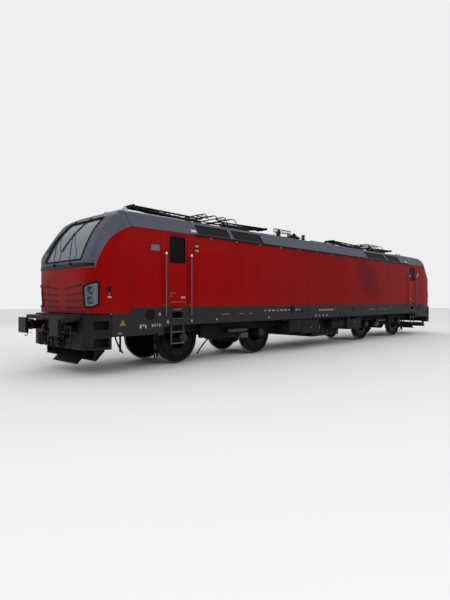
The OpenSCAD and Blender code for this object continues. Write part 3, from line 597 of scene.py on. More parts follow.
for node, finish, edge in [
    ("nose_shells", red, 0.008), ("windscreen_frames", roof_grey, 0.006), ("windscreens", glass, 0),
    ("cab_roofs", roof_grey, 0.012), ("roof_hatches", roof_grey, 0.012), ("side_walls", wall_red, 0.004),
    ("underframe", sill_grey, 0.005), ("headstocks", end_grey, 0.01), ("end_platforms", tread_plate, 0.006),
    ("buffers", black, 0.006), ("couplings", greased, 0.006), ("snow_ploughs", black, 0.004),
    ("headlights", silver, 0.004), ("handrails", bright, 0.0), ("ladders", bright, 0.003),
    ("roof_louvres", louvre_dark, 0.0), ("transformer", box_grey, 0.012),
    ("underfloor_boxes", box_grey, 0.01),
    ("air_tanks", box_grey, 0.012), ("busbars", bar_metal, 0.003), ("switchgear", gear_grey, 0.01),
    ("antennas", antenna_white, 0.004), ("pantograph_bases", gear_grey, 0.005), ("brake_hoses", rubber, 0.0),
    ("cab_bulkheads", cab_grey, 0.006), ("driver_desks", desk_dark, 0.015),
]:
    skin(node, finish, edge)
for door in ("door_front_left", "door_front_right", "door_rear_left", "door_rear_right"):
    skin(door, red, 0.004)
for end in ("front", "rear"):
    skin("bogie_frame_" + end, dark_steel, 0.012)
    skin("traction_motors_" + end, dark_steel, 0.01)
for i in range(1, 5):
    axle = (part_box(f"wheelset_{i}")[0].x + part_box(f"wheelset_{i}")[1].x) / 2
    skin(f"wheelset_{i}", wheel_finish(f"wheel_steel_{i}", axle), 0.003)
    for part, finish in (("lower_arm", gear_grey), ("upper_arm", gear_grey), ("head", contact)):
        skin(f"pantograph_{i}_{part}", finish, 0.003)
print("skins made:", len(made))

# %% [markdown]
# ## The nose
# What lies on the nose has to follow its curve. A ray is sent towards the nose from in front, and
# where it lands is the surface. A piece is drawn flat, as seen from the front. Each of its points is
# then moved to where its ray lands, and stood off from there along the surface's normal.

# %% Finding the surface of the nose
from mathutils.bvhtree import BVHTree

points, faces = [], []
for node in ("nose_shells", "windscreen_frames", "windscreens", "headlights", "cab_roofs"):
    mesh = frame["nodes"][node].data
    faces += [[v + len(points) for v in face.vertices] for face in mesh.polygons]
    points += [v.co.copy() for v in mesh.vertices]
nose_tree = BVHTree.FromPolygons(points, faces)


def on_nose(y, z, out=0.0):
    """The point of the rear nose at this y and height above the rail, moved out along its normal"""
    hit, normal, _, _ = nose_tree.ray_cast(Vector((END_X + 1, y, z + RAIL)), Vector((-1, 0, 0)))
    if hit is None or hit.x < SEAM_X - 0.05:
        raise ValueError(f"no nose surface at y {y:.3f}, z {z:.3f}")
    if normal.x < 0:
        normal = -normal
    return hit + normal * out - Vector((0, 0, RAIL))


def run(corners, step=0.05, closed=False):
    """Points spaced evenly along straight lines between corners"""
    corners = [Vector(c) for c in corners]
    path = []
    for a, b in zip(corners, corners[1:] + corners[:1] if closed else corners[1:]):
        count = max(1, round((b - a).length / step))
        path += [a.lerp(b, i / count) for i in range(count)]
    return path if closed else path + [corners[-1]]


def draped(obj, out=0.0):
    """Drapes a piece, drawn flat with its back at x = 0, over the nose"""
    for vertex in obj.data.vertices:
        x, y, z = vertex.co
        vertex.co = on_nose(y, z, out + x)
    return obj


def round_corners(corners, r, steps=4):
    """Replaces each corner of an outline by a few points on a curve"""
    corners = [Vector(c) for c in corners]
    path = []
    for i, c in enumerate(corners):
        a = c + (corners[i - 1] - c).normalized() * r
        b = c + (corners[(i + 1) % len(corners)] - c).normalized() * r
        path += [(1 - t) ** 2 * a + 2 * t * (1 - t) * c + t * t * b
                 for t in (k / steps for k in range(steps + 1))]
    return path


# %% [markdown]
# The windscreen is bonded in with a black seal. Below it lies a black strip with the wiper pivots,
# and the two long wipers park leaning across the glass. They are pipes bent over the surface.

# %% Windscreen seal, foot strip and wipers
glass_low, glass_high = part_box("windscreens")[0].z - RAIL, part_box("windscreens")[1].z - RAIL
# The path runs just outside the gap round the glass, where a ray could slip through
low, high = glass_low - 0.012, glass_high + 0.004
corners = round_corners([(0.944, low), (0.833, high), (-0.833, high), (-0.944, low)], 0.012)
seal = pipe("windscreen_seals", [on_nose(y, z, 0.001) for y, z in run(corners, closed=True)], 0.019,
            closed=True, rings=2)
fit(seal, BOTH_ENDS, "hose_rubber", rubber)

SCREEN_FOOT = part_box("windscreen_frames")[0].z - RAIL
only(None)
bpy.ops.mesh.primitive_grid_add(x_subdivisions=3, y_subdivisions=40, size=1, rotation=(0, math.pi / 2, 0))
strip = added("windscreen_foot_strips")
for vertex in strip.data.vertices:
    share = abs(vertex.co.y) * 2
    vertex.co = (0, vertex.co.y * 2.72, SCREEN_FOOT + 0.06 + vertex.co.z * (0.11 - 0.05 * share ** 3))
tidy_normals(draped(strip, 0.006))
modify(strip, "SOLIDIFY", thickness=0.012, offset=0)
fit(soften(strip, 0.003), BOTH_ENDS, "hose_rubber", black)

parts = []
for foot_y, lean in ((0.52, -0.62), (-0.30, -0.60)):
    foot = (foot_y, SCREEN_FOOT + 0.1)
    knee = (foot_y + 0.25 * lean, SCREEN_FOOT + 0.42)
    tip = (foot_y + lean, SCREEN_FOOT + 0.86)
    parts.append(turned("wiper_boss", [(0.03, 0), (0.03, 0.03), (0.018, 0.045)], on_nose(*foot),
                        (1, 0, 0.2), 20))
    parts.append(pipe("wiper_arm", [on_nose(*foot, 0.04), on_nose(*knee, 0.075), on_nose(*tip, 0.035)],
                      0.009))
    blade = [on_nose(tip[0] + s * 0.16, tip[1] + s * 0.42, 0.014) for s in (-1, -0.6, -0.2, 0.2, 0.6, 1)]
    parts.append(pipe("wiper_blade", blade, 0.011, rings=1))
fit(joined("windscreen_wipers", parts), BOTH_ENDS, "hose_rubber", black)

# %% [markdown]
# Four dark channels run out from the middle of the nose on each side and fan upwards. One channel
# is a bar whose front is inset and pushed in; it is copied, leaned and draped for each line.

# %% Nose channels, seams and the lower lip
parts = []
for inner, outer in ((1.90, 1.98), (1.755, 1.80), (1.615, 1.645), (1.475, 1.49)):
    bar = framed("nose_channel", (0, 0.2, -0.018), (0.007, 1.0, 0.018), 0.004, 0.0035, "X")
    pick(bar, lambda c, n: True)
    bpy.ops.mesh.subdivide(number_cuts=7)
    done(bar)
    for vertex in bar.data.vertices:
        vertex.co.z += inner + (outer - inner) * (vertex.co.y - 0.2) / 0.8
    parts.append(draped(bar, 0.0))
fit(joined("nose_channels", parts), CORNERS, "hose_rubber", black)

seams = [pipe("seam", [on_nose(1.0, z, -0.001) for z in (1.35, 1.6, 1.9, 2.34)], 0.004, rings=1),
         pipe("seam", [on_nose(y, NOSE_FOOT + 0.008, -0.001)
                       for y in (0, 0.5, 1.0, 1.15, 1.3, 1.4, 1.46)], 0.006, rings=1)]
fit(joined("nose_seams", seams), CORNERS, "hose_rubber", black)


def over_body(x, out):
    """Points over the body at one x: up the wall, then over the roof, found by rays sent down"""
    half = [(HALF_W + out, NOSE_FOOT), (HALF_W + out, GUTTER_H)]
    for y in (1.42, 1.34, 1.27, 1.2, 1.0, 0.8, 0.6, 0.4, 0.2, 0):
        hit, _, _, _ = nose_tree.ray_cast(Vector((x, y, 6)), Vector((0, 0, -1)))
        half.append((y, hit.z - RAIL + out))
    return [(x, y, z) for y, z in half] + [(x, -y, z) for y, z in half[-2::-1]]


seam = pipe("seam", over_body(SEAM_X + 0.004, -0.002), 0.006, rings=1)
fit(seam, BOTH_ENDS, "hose_rubber", black)

# %% [markdown]
# Each headlight is a silver housing with two round lamps, set in a black surround. A lamp is a
# turned bezel with a domed lens in front.

# %% Headlights
LAMP_Y, LAMP_X = HALF_W - 0.25, NOSE_X - 0.17  # the middle and the floor of the lamp recesses
LAMP_Z = [NOSE_FOOT + rise for rise in (0.295, 0.505)]
y0, y1, z0 = HALF_W - 0.412, HALF_W - 0.083, NOSE_FOOT + 0.143
outline = round_corners([(y0, z0), (y1 - 0.1, z0 + 0.005), (y1, z0 + 0.058), (y1, z0 + 0.56),
                         (y0, z0 + 0.462)], 0.03, 3)
surround = pipe("headlight_surrounds", [on_nose(y, z, 0.001) for y, z in run(outline, 0.03, True)],
                0.022, True, rings=2)
fit(surround, CORNERS, "hose_rubber", black)
lamps = [at(LAMP_X, LAMP_Y, z) for z in LAMP_Z]
bezel = turned("lamp_bezels", [(0.084, 0), (0.084, 0.03), (0.078, 0.038), (0.068, 0.034),
                               (0.06, 0.012)], (0, 0, 0), (1, 0, 0), 40)
fit(spread(bezel, lamps), CORNERS, "lamp_silver", chrome)
dome = turned("lamp_lenses", [(0.066, 0.01), (0.064, 0.03), (0.05, 0.042), (0.028, 0.049),
                              (0.01, 0.051)], (0, 0, 0), (1, 0, 0), 40)
fit(spread(dome, lamps), CORNERS, "lamp_silver", lens, 60)
parts = [pipe("bar", [on_nose(y, z, -0.001) for y in (1.12, 1.2, 1.3, 1.39)], 0.005, rings=1)
         for z in (1.748, 1.756, 1.93)]
fit(joined("headlight_bars", parts), CORNERS, "hose_rubber", black)

port = turned("nose_side_ports", [(0.056, 0), (0.056, 0.007), (0.048, 0.01), (0.042, 0.004)],
              (8.555, HALF_W - 0.005, 1.88), (0, 1, 0))
fit(port, CORNERS, "hose_rubber", black)
label = framed("nose_side_labels", (8.52, HALF_W - 0.002, 1.69), (8.61, HALF_W + 0.003, 1.73), 0.006,
               0.001, "Y")
dot = turned("dot", [(0.012, 0), (0.012, 0.004), (0.008, 0.005)], (8.57, HALF_W - 0.001, 1.78), (0, 1, 0), 16)
fit(joined("nose_side_labels", [label, dot]), CORNERS, "antenna_white", white)
print("nose done, pieces so far:", len(made))

# %% [markdown]
# ## Roof edge
# A rain gutter runs along the top of the wall. Over the cab it is only a dark line; over the
# machine room it is a deep black channel held by small clips.

# %% Gutters, clips and louvre frames
line = block("cab_gutters", (CAB_X + 0.01, HALF_W - 0.004, GUTTER_H - 0.008),
             (SEAM_X, HALF_W + 0.005, GUTTER_H + 0.008), 0.002)
fit(line, CORNERS, "hose_rubber", black)
gutter = framed("roof_gutters", (-CAB_X, HALF_W - 0.01, GUTTER_H - 0.035),
                (CAB_X, HALF_W + 0.016, GUTTER_H + 0.03), 0.008, 0.012, "Y")
fit(gutter, BOTH_SIDES, "hose_rubber", black)
clip = block("gutter_clips", (-0.035, HALF_W - 0.005, GUTTER_H - 0.045),
             (0.035, HALF_W + 0.022, GUTTER_H - 0.012), 0.004)
clip = spread(clip, [at(x=-5.7 + 0.95 * i) for i in range(13)])
fit(clip, BOTH_SIDES, "roof_grey", rim_grey)

SLOPE_TURN = math.pi / 2 + math.atan2(0.3, 0.39)
SLOPE = at(y=HALF_W, z=GUTTER_H) @ Matrix.Rotation(SLOPE_TURN, 4, "X")  # x along, y up the slope, -z outwards
SLOPE_LEN = math.hypot(0.3, 0.39)


def rim(name, x0, y0, x1, y1, width, depth):
    """A flat picture frame in the x-y plane: a plane inset once, its middle deleted, then thickened"""
    only(None)
    bpy.ops.mesh.primitive_plane_add(size=1, location=((x0 + x1) / 2, (y0 + y1) / 2, 0))
    obj = added(name)
    for vertex in obj.data.vertices:
        vertex.co.x = x0 if vertex.co.x < (x0 + x1) / 2 else x1
        vertex.co.y = y0 if vertex.co.y < (y0 + y1) / 2 else y1
    pick(obj, lambda c, n: True)
    bpy.ops.mesh.inset(thickness=width)
    bpy.ops.mesh.delete(type="FACE")
    done(obj)
    modify(obj, "SOLIDIFY", thickness=depth, offset=0)
    return tidy_normals(soften(obj, 0.003))


rows = [(3.5, 4.84, 1), (4.86, 6.13, 1), (2.6, 4.36, -1), (4.38, 5.69, -1)]
parts = []
for x0, x1, side in rows:
    frame_part = rim("louvre_frame", x0 + 0.02, 0.025, x1 - 0.02, SLOPE_LEN - 0.06, 0.028, 0.014)
    frame_part.data.transform(SLOPE if side > 0 else FLIP @ SLOPE)
    if side < 0:
        frame_part.data.flip_normals()
    parts.append(frame_part)
fit(joined("louvre_frames", parts), BOTH_ENDS, "roof_grey", rim_grey)

bolt = turned("roof_bolts", [(0.014, 0), (0.014, 0.006), (0.01, 0.011)], (0, 0, 0), (0, 0, 1), 8)
places = [(x + dx, y) for x in (-6.2, -2.18, 2.18, 6.2) for dx in (-0.05, 0.05)
          for y in (-1.05, -0.75, -0.45, -0.15, 0.15, 0.45, 0.75, 1.05)]
hand_over(spread(bolt, [at(x, y, HATCH_H - 0.001) for x, y in places if abs(x) < CAB_X]), "carbody",
          "bright_steel", worn)
eye_bolt = pipe("lifting_eyes", [(0.035 * math.cos(a), 0, 0.035 + 0.035 * math.sin(a))
                                 for a in (k * math.pi / 6 for k in range(12))], 0.009, True)
eyes = [at(x, y, HATCH_H - 0.02) for x in (-5.9, -2.5, -1.9, 1.9, 2.5, 5.9) for y in (-1.12, 1.12)]
hand_over(spread(eye_bolt, eyes), "carbody", "roof_gear_grey", gear_grey)

# %% [markdown]
# ## Cab sides and doors
# A door leaf and its window, handle and kick line are one body that swings, so each leaf gets its
# own copies. They are drawn once for one corner and then turned or mirrored to the others.

# %% Doors
DOORS = {"door_rear_right": SAME, "door_rear_left": FLIP, "door_front_left": TURN,
         "door_front_right": TURN @ FLIP}
leaf_low, leaf_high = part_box("door_rear_right")
leaf_x = (leaf_low.x + leaf_high.x) / 2
OUT = HALF_W - 0.002  # the leaf's outer face
win_top = leaf_high.z - RAIL - 0.05
win_low = win_top - 0.635


def leaf_parts():
    window = framed("glass", (leaf_x - 0.232, OUT - 0.03, win_low - 0.006),
                    (leaf_x + 0.232, OUT + 0.004, win_top + 0.006),
                    0.022, 0.008, "Y", 0.07)
    yield "window", window, "glass", dark_glass
    edge = round_corners([(leaf_x - 0.226, win_low), (leaf_x + 0.226, win_low),
                          (leaf_x + 0.226, win_top), (leaf_x - 0.226, win_top)], 0.075)
    seal = pipe("seal", [(x, OUT + 0.002, z) for x, z in edge], 0.012, True, rings=2)
    yield "window_seal", seal, "hose_rubber", rubber
    far = leaf_x - 0.215  # the latch side is away from the hinge, nearer the nose
    latch = leaf_x + 0.215
    handle = joined("handle", [
        turned("boss", [(0.028, 0), (0.028, 0.012), (0.016, 0.02), (0.013, 0.045)],
               (latch - 0.02, OUT, 1.81), (0, 1, 0), 20),
        pipe("lever", [(latch - 0.02, OUT + 0.042, 1.81), (latch - 0.07, OUT + 0.046, 1.81),
                       (latch - 0.125, OUT + 0.044, 1.80)], 0.010),
        turned("lock", [(0.02, 0), (0.02, 0.006), (0.012, 0.008)], (latch - 0.02, OUT, 1.74), (0, 1, 0), 16)])
    yield "handle", handle, "bright_steel", bright
    label = framed("plate", (far - 0.02, OUT - 0.001, 1.685), (far + 0.11, OUT + 0.003, 1.735), 0.005,
                   0.001, "Y")
    yield "plate", label, "bright_steel", white
    kick = framed("kick", (leaf_x - 0.27, OUT - 0.001, 1.59), (leaf_x + 0.2, OUT + 0.005, 1.605), 0.003,
                  0.001, "Y")
    yield "kick_line", kick, "bright_steel", bright
    inner = framed("pull", (leaf_x + 0.1, HALF_W - 0.05, 2.28), (leaf_x + 0.22, HALF_W - 0.062, 2.40),
                   0.012, 0.006, "Y")
    yield "inner_latch", inner, "interior_dark", desk_dark


for door, move in DOORS.items():
    for name, obj, slot, finish in leaf_parts():
        obj.name = f"{door}_{name}"
        hand_over(spread(obj, [move]), door, slot, finish)
print("doors dressed:", len(DOORS))

# %% [markdown]
# The handrails end in bright feet. A grey plate sits ahead of the door, and below the door a foot
# recess is cut in the sill, with a bright lip and a yellow line above it.

# %% Rail feet, side plates and step lips
rail_x = [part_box("handrails")[1].x - 0.016, 6.38]
foot = turned("handrail_feet", [(0.034, 0), (0.034, 0.006), (0.02, 0.012), (0.016, 0.03)], (0, 0, 0),
              (0, 1, 0), 20)
foot = spread(foot, [at(x, HALF_W - 0.001, FLOOR_H + rise) for x in rail_x for rise in (0.04, 1.29)])
fit(foot, CORNERS, "bright_steel", bright)
knob = block("handrail_heads", (-0.022, HALF_W + 0.035, -0.03), (0.022, HALF_W + 0.079, 0.035), 0.008, 3)
knob = spread(knob, [at(x, 0, FLOOR_H + 1.29) for x in rail_x])
fit(knob, CORNERS, "bright_steel", polished)

plate = framed("cab_side_plates", (7.29, HALF_W - 0.002, 2.81), (7.52, HALF_W + 0.006, 2.95), 0.012,
               0.003, "Y", 0.012, 2)
fit(plate, CORNERS, "bright_steel", rim_grey)
signs = [(white, "upper_signs", 3.02), (black, "middle_signs", 2.965), (white, "lower_signs", 2.905)]
for finish, name, z in signs:
    sign = framed(name, (6.12, HALF_W - 0.001, z - 0.024), (6.21, HALF_W + 0.004, z + 0.024), 0.005,
                  0.0015, "Y", 0.006, 2)
    fit(sign, BOTH_ENDS, "antenna_white", finish)
lamp = block("side_marker_lamps", (6.14, -0.02, -0.03), (6.3, 0.06, 0.012), 0.008, 3)
lamp.data.transform(SLOPE @ at(y=0.1))
fit(lamp, CORNERS, "antenna_white", antenna_white)

BAND = HALF_W - 0.006
lip = block("step_lips", (leaf_x - 0.165, BAND - 0.03, 1.182), (leaf_x + 0.165, BAND + 0.012, 1.2), 0.004)
fit(lip, CORNERS, "bright_steel", bright)
line = framed("step_lines", (leaf_x - 0.12, BAND - 0.001, 1.408), (leaf_x + 0.12, BAND + 0.003, 1.43),
              0.003, 0.001, "Y")
fit(line, CORNERS, "bright_steel", yellow)

# %% [markdown]
# ## Marks on the sill
# The sill carries sockets and many small marks. They are left blank: thin plates with a raised edge,
# at the places and in the sizes that such marks have. The far side carries the same set turned round.

# %% Sockets and blank marks
ring_x = NOSE_X - 1.46
socket = turned("depot_sockets", [(0.128, 0), (0.128, 0.01), (0.116, 0.018), (0.1, 0.018),
                                  (0.094, 0.006)], (ring_x, BAND - 0.002, 1.31), (0, 1, 0), 40)
fit(socket, CORNERS, "hose_rubber", black)
cap = turned("depot_socket_caps", [(0.088, 0), (0.088, 0.012), (0.07, 0.02), (0.03, 0.022),
                                   (0.02, 0.03)], (ring_x, BAND - 0.045, 1.31), (0, 1, 0), 32)
fit(cap, CORNERS, "bright_steel", worn)


def marks(name, finish, places, depth=0.003):
    """Blank marks on the near side's sill, each by its middle and its size, copied to the far side"""
    parts = [framed("mark", (x - w / 2, -BAND + 0.001, z - h / 2), (x + w / 2, -BAND - depth, z + h / 2),
                    min(w, h) * 0.14, 0.001, "Y") for x, z, w, h in places]
    return fit(joined(name, parts), BOTH_ENDS, "antenna_white", finish)


marks("white_marks", white, [
    (-8.32, 0.91, 0.10, 0.022), (-7.28, 1.31, 0.05, 0.07), (-7.80, 1.04, 0.05, 0.09),
    (-7.72, 1.06, 0.05, 0.05), (-7.66, 1.03, 0.04, 0.08), (-7.48, 1.05, 0.05, 0.07),
    (-7.41, 1.05, 0.03, 0.07), (-7.35, 1.06, 0.03, 0.05), (-7.28, 1.05, 0.04, 0.07),
    (-7.05, 1.12, 0.05, 0.08), (-6.32, 1.12, 0.04, 0.06), (-5.48, 1.13, 0.04, 0.05),
    (-3.39, 1.12, 0.04, 0.05), (-0.95, 1.11, 0.06, 0.06), (-0.74, 1.11, 0.06, 0.06),
    (-0.52, 1.11, 0.06, 0.06), (-0.3, 1.11, 0.06, 0.06), (-1.98, 1.34, 0.03, 0.07),
    (-1.9, 1.34, 0.015, 0.07)])
marks("label_bars", rim_grey, [(-5.17, 1.26, 0.24, 0.03), (-4.52, 1.26, 0.2, 0.025),
                               (-4.17, 1.26, 0.16, 0.025),
                               (2.9, 1.27, 0.5, 0.03), (3.9, 1.27, 0.8, 0.015), (4.62, 1.29, 0.03, 0.07)])
marks("number_bars", white, [(-3.55 + 0.19 * i, 1.33, 0.13 if i % 3 else 0.06, 0.035) for i in range(10)]
      + [(-0.72 + 0.13 * i, 1.30, 0.09, 0.05) for i in range(7)] + [(0.26, 1.31, 0.012, 0.09)])
only(None)
bpy.ops.mesh.primitive_circle_add(vertices=3, radius=0.095, fill_type="NGON",
                                  rotation=(math.pi / 2, 0, 0), location=(-8.25, -BAND, 1.12))
sign = added("caution_triangles")
pick(sign, lambda c, n: True)
bpy.ops.mesh.extrude_region_move(TRANSFORM_OT_translate={"value": (0, -0.003, 0)})
bpy.ops.mesh.inset(thickness=0.016)
done(sign)
fit(tidy_normals(sign), BOTH_ENDS, "antenna_white", yellow)
hole = turned("sill_ports", [(0.12, 0), (0.12, 0.008), (0.105, 0.014), (0.098, 0.004)],
              (-2.25, -BAND + 0.001, 1.34), (0, -1, 0), 36)
small = turned("port", [(0.07, 0), (0.07, 0.008), (0.06, 0.012), (0.055, 0.002)],
               (-1.75, -BAND + 0.001, 1.31), (0, -1, 0), 32)
square = framed("port", (1.43, -BAND + 0.001, 1.23), (1.55, -BAND - 0.008, 1.35), 0.012, 0.007, "Y", 0.01, 2)
dots = spread(turned("port", [(0.022, 0), (0.022, 0.006), (0.014, 0.008)], (0, -BAND + 0.001, 1.29),
                     (0, -1, 0), 16),
              [at(x=x) for x in (2.05, 2.2, 5.5, 5.2, -4.9)])
fit(joined("sill_ports", [hole, small, square, dots]), BOTH_ENDS, "hose_rubber", black)
print("marks done, pieces so far:", len(made))

# %% [markdown]
# ## Bogie suspension
# Each wheel bearing sits in a round box at the side of the bogie, with a small coil spring at each
# side of it. Two large coils carry the body, and a long yaw damper steadies the bogie. The springs
# are what the eye looks for, so they are real coils: a round bar that follows a helix. One side
# of one bogie is modelled about its pivot, then copied to the other three.

# %% Coils, boxes and dampers
SIDE_Y = 0.95  # the line of the springs and axle boxes
HALF_BASE = 1.5  # from a bogie's pivot to its axles
BOGIES = {"bogie_front": TURN @ at(x=PIVOT_X), "bogie_rear": at(x=PIVOT_X)}


def coil(name, x, y, low, high, radius, wire, turns):
    """A coil spring that stands between two heights"""
    count = int(turns * 12)
    helix = [(x + radius * math.cos(k * math.pi / 6), y + radius * math.sin(k * math.pi / 6),
              low + wire + (high - low - 2 * wire) * k / count) for k in range(count + 1)]
    return pipe(name, helix, wire, rings=1)


def bolts(name, radius, count, foot, way=(0, 1, 0), size=0.012):
    """A ring of bolt heads round an axis"""
    head = turned(name, [(size, 0), (size, 0.008), (size * 0.7, 0.012)], (0, 0, 0), (0, 0, 1), 6)
    head = spread(head, [at(radius * math.cos(k * math.tau / count),
                            radius * math.sin(k * math.tau / count)) for k in range(count)])
    spin = Vector((0, 0, 1)).rotation_difference(Vector(way)).to_matrix().to_4x4()
    head.data.transform(Matrix.Translation(foot) @ spin)
    return head


def bogie_side():
    """The pieces at one side of a bogie, as (name, object, slot, finish)"""
    boxes, springs, posts, covers = [], [], [], []
    for x in (-HALF_BASE, HALF_BASE):
        boxes.append(turned("box", [(0.15, 0), (0.16, 0.02), (0.16, 0.15), (0.145, 0.165),
                                    (0.145, 0.185)], (x, 0.876, WHEEL_R), (0, 1, 0), 40))
        boxes.append(block("wing", (x - 0.32, 0.885, WHEEL_R - 0.058),
                           (x + 0.32, 1.015, WHEEL_R + 0.008), 0.015, 3))
        covers.append(turned("cover", [(0.12, 0), (0.12, 0.012), (0.105, 0.02), (0.06, 0.022),
                                       (0.05, 0.034)], (x, 1.061, WHEEL_R), (0, 1, 0), 36))
        covers.append(bolts("bolt", 0.1, 8, (x, 1.074, WHEEL_R)))
        for s in (-0.245, 0.245):
            springs.append(coil("coil", x + s, SIDE_Y, 0.648, 0.786, 0.056, 0.012, 3))
            for z in (0.635, 0.786):
                posts.append(turned("seat", [(0.074, 0), (0.074, 0.013)], (x + s, SIDE_Y, z), (0, 0, 1), 28))
            posts.append(turned("core", [(0.03, 0), (0.03, 0.15)], (x + s, SIDE_Y, 0.64), (0, 0, 1), 16))
    for x in (-0.21, 0.21):
        springs.append(coil("coil", x, SIDE_Y, 1.02, 1.37, 0.1, 0.02, 5))
        for z in (1.001, 1.37):
            posts.append(turned("seat", [(0.13, 0), (0.13, 0.02)], (x, SIDE_Y, z), (0, 0, 1), 36))
        posts.append(turned("core", [(0.045, 0), (0.045, 0.37)], (x, SIDE_Y, 1.01), (0, 0, 1), 20))
    yield "axle_boxes", joined("a", boxes), "bogie_steel", dark_steel
    yield "axle_box_covers", joined("a", covers), "bogie_steel", worn
    yield "coil_springs", joined("a", springs), "spring_steel", greased
    yield "spring_seats", joined("a", posts), "bogie_steel", dark_steel
    damper = turned("a", [(0.045, 0), (0.045, 0.4), (0.04, 0.41), (0.05, 0.412), (0.05, 0.73),
                          (0.03, 0.74), (0.03, 0.79)], (0, 1.12, 0.77), (-1, 0, 0), 28)
    eye_block = block("a", (-0.85, 1.03, 0.53), (-0.55, 1.13, 0.68), 0.012, 3)
    yield "yaw_dampers", joined("a", [damper, eye_block]), "spring_steel", damper_grey
    bracket = block("a", (-0.06, 1.031, 0.7), (0.02, 1.15, 0.84), 0.01, 3)
    arm = block("a", (-0.86, 1.031, 0.72), (-0.79, 1.15, 0.82), 0.01, 3)
    strip = framed("a", (0.1, 1.02, 0.55), (0.27, 1.05, 0.96), 0.018, 0.01, "Y", 0.01, 2)
    case = framed("a", (0.3, 1.02, 0.62), (0.98, 1.12, 0.96), 0.03, 0.012, "Y", 0.03, 4)
    yield "side_brackets", joined("a", [bracket, arm, strip, case]), "bogie_steel", dark_steel
    dots = [bolts("a", 0.035, 4, (0.185, 1.05, z), size=0.01) for z in (0.62, 0.76, 0.9)]
    dots += [bolts("a", 0.05, 6, (-0.02, 1.15, 0.77), size=0.009)]
    yield "bracket_bolts", joined("a", dots), "spring_steel", worn
    sand = pipe("a", [(2.05, 1.0, 0.84), (2.3, 1.0, 0.8), (2.34, 0.95, 0.6), (2.24, 0.82, 0.3),
                      (2.18, 0.77, 0.17)], 0.022, rings=2, round_path=True)
    sand_in = pipe("a", [(0.62, 1.0, 0.58), (0.7, 0.97, 0.5), (0.78, 0.84, 0.3), (0.82, 0.78, 0.17)],
                   0.02, rings=2, round_path=True)
    guard = block("a", (2.17, 0.86, 0.2), (2.21, 0.92, 0.81), 0.008)
    yield "sand_pipes", joined("a", [sand, sand_in, guard]), "bogie_steel", dark_steel
    line = pipe("a", [(x, 1.045, 0.93 - 0.012 * abs(math.sin(3 * x)))
                      for x in (-1.9, -1.6, -1.3, -1.0)], 0.011, rings=2, round_path=True)
    drop = pipe("a", [(-1.5, 1.05, 0.92), (-1.52, 1.1, 0.84), (-1.5, 1.11, 0.72), (-1.5, 1.085, 0.64)],
                0.009, rings=2, round_path=True)
    yield "bogie_cables", joined("a", [line, drop]), "hose_rubber", rubber


for bogie, move in BOGIES.items():
    for name, obj, slot, finish in bogie_side():
        obj.name = f"{bogie}_{name}"
        piece = hand_over(spread(obj, [move, move @ FLIP]), bogie, slot, finish)
        if name == "axle_boxes":
            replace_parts(piece, "suspension_" + bogie[6:])
print("bogies dressed, pieces so far:", len(made))

# %% [markdown]
# A brake disc is bolted to each side of every wheel. It turns with its own axle, so each wheelset
# gets its own copy.

# %% Brake discs on the wheels
for i in range(1, 5):
    x = sum(v.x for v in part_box(f"wheelset_{i}")) / 2
    disc = turned("disc", [(0.27, 0), (0.29, 0.02), (0.5, 0.02), (0.51, 0.0)], (x, 0.766, WHEEL_R),
                  (0, 1, 0), 64)
    ring = joined(f"wheelset_{i}_discs", [disc, bolts("bolt", 0.31, 12, (x, 0.785, WHEEL_R),
                                                      size=0.016),
                                          bolts("bolt", 0.47, 12, (x, 0.785, WHEEL_R))])
    hand_over(spread(ring, BOTH_SIDES), f"wheelset_{i}", "wheel_steel", greased)

# %% [markdown]
# ## Below the floor
# The boxes under the floor open from the side, so each has a lid with a raised rim and two latches.
# The tanks are held by straps, and air pipes run along behind the sill.

# %% Lids, latches, straps and pipes
CASES = [(-1.71, -0.74, 0.54, 0.99), (1.06, 2.09, 0.545, 0.93), (-2.39, -1.73, 0.60, 1.0)]
face_y = HALF_W - 0.02
lids, latches = [], []
for x0, x1, z0, z1 in CASES:
    lids.append(framed("lid", (x0 + 0.03, face_y - 0.01, z0 + 0.03),
                       (x1 - 0.03, face_y + 0.01, z1 - 0.03), 0.025, 0.006, "Y", 0.02, 3))
    for x in (x0 + 0.2, x1 - 0.2):
        latches.append(block("latch", (x - 0.02, face_y + 0.002, z1 - 0.13),
                             (x + 0.02, face_y + 0.019, z1 - 0.07), 0.004))
fit(joined("box_lids", lids), BOTH_SIDES, "equipment_grey", box_grey)
fit(joined("box_latches", latches), BOTH_SIDES, "bright_steel", worn)

TANK_Y, TANK_Z, STRAP_R = HALF_W - 0.19, 0.77, 0.153
straps = [pipe("strap", [(x, TANK_Y + STRAP_R * math.cos(a), TANK_Z + STRAP_R * math.sin(a))
                         for a in (k * math.pi / 12 for k in range(24))], 0.009, True, rings=1)
          for x in (0.14, 0.42, 0.58, 0.86)]
fit(joined("tank_straps", straps), BOTH_SIDES, "bright_steel", worn)
pipes = [pipe("air", [(-2.6, 1.38, 1.0 + d), (-0.72, 1.38, 1.0 + d), (-0.6, 1.3, 0.98 + d),
                      (2.5, 1.3, 0.98 + d)], 0.014, rings=2) for d in (0, 0.04)]
pipes.append(pipe("air", [(0.5, 1.31, 0.9), (0.5, 1.31, 0.99), (0.6, 1.3, 1.0)], 0.012, rings=2))
fit(joined("air_pipes", pipes), BOTH_SIDES, "equipment_grey", worn)
small = [framed("mark", (x - w, -face_y - 0.009, z - h), (x + w, -face_y - 0.013, z + h), 0.003, 0.001, "Y")
         for x, z, w, h in ((-1.5, 0.9, 0.02, 0.02), (-0.95, 0.9, 0.02, 0.02),
                            (-1.22, 0.72, 0.03, 0.02), (1.6, 0.8, 0.03, 0.02))]
fit(joined("box_marks", small), BOTH_ENDS, "antenna_white", yellow)
panel = framed("transformer_plates", (-0.44, -1.145, 0.6), (-0.26, -1.16, 0.76), 0.012, 0.003, "Y")
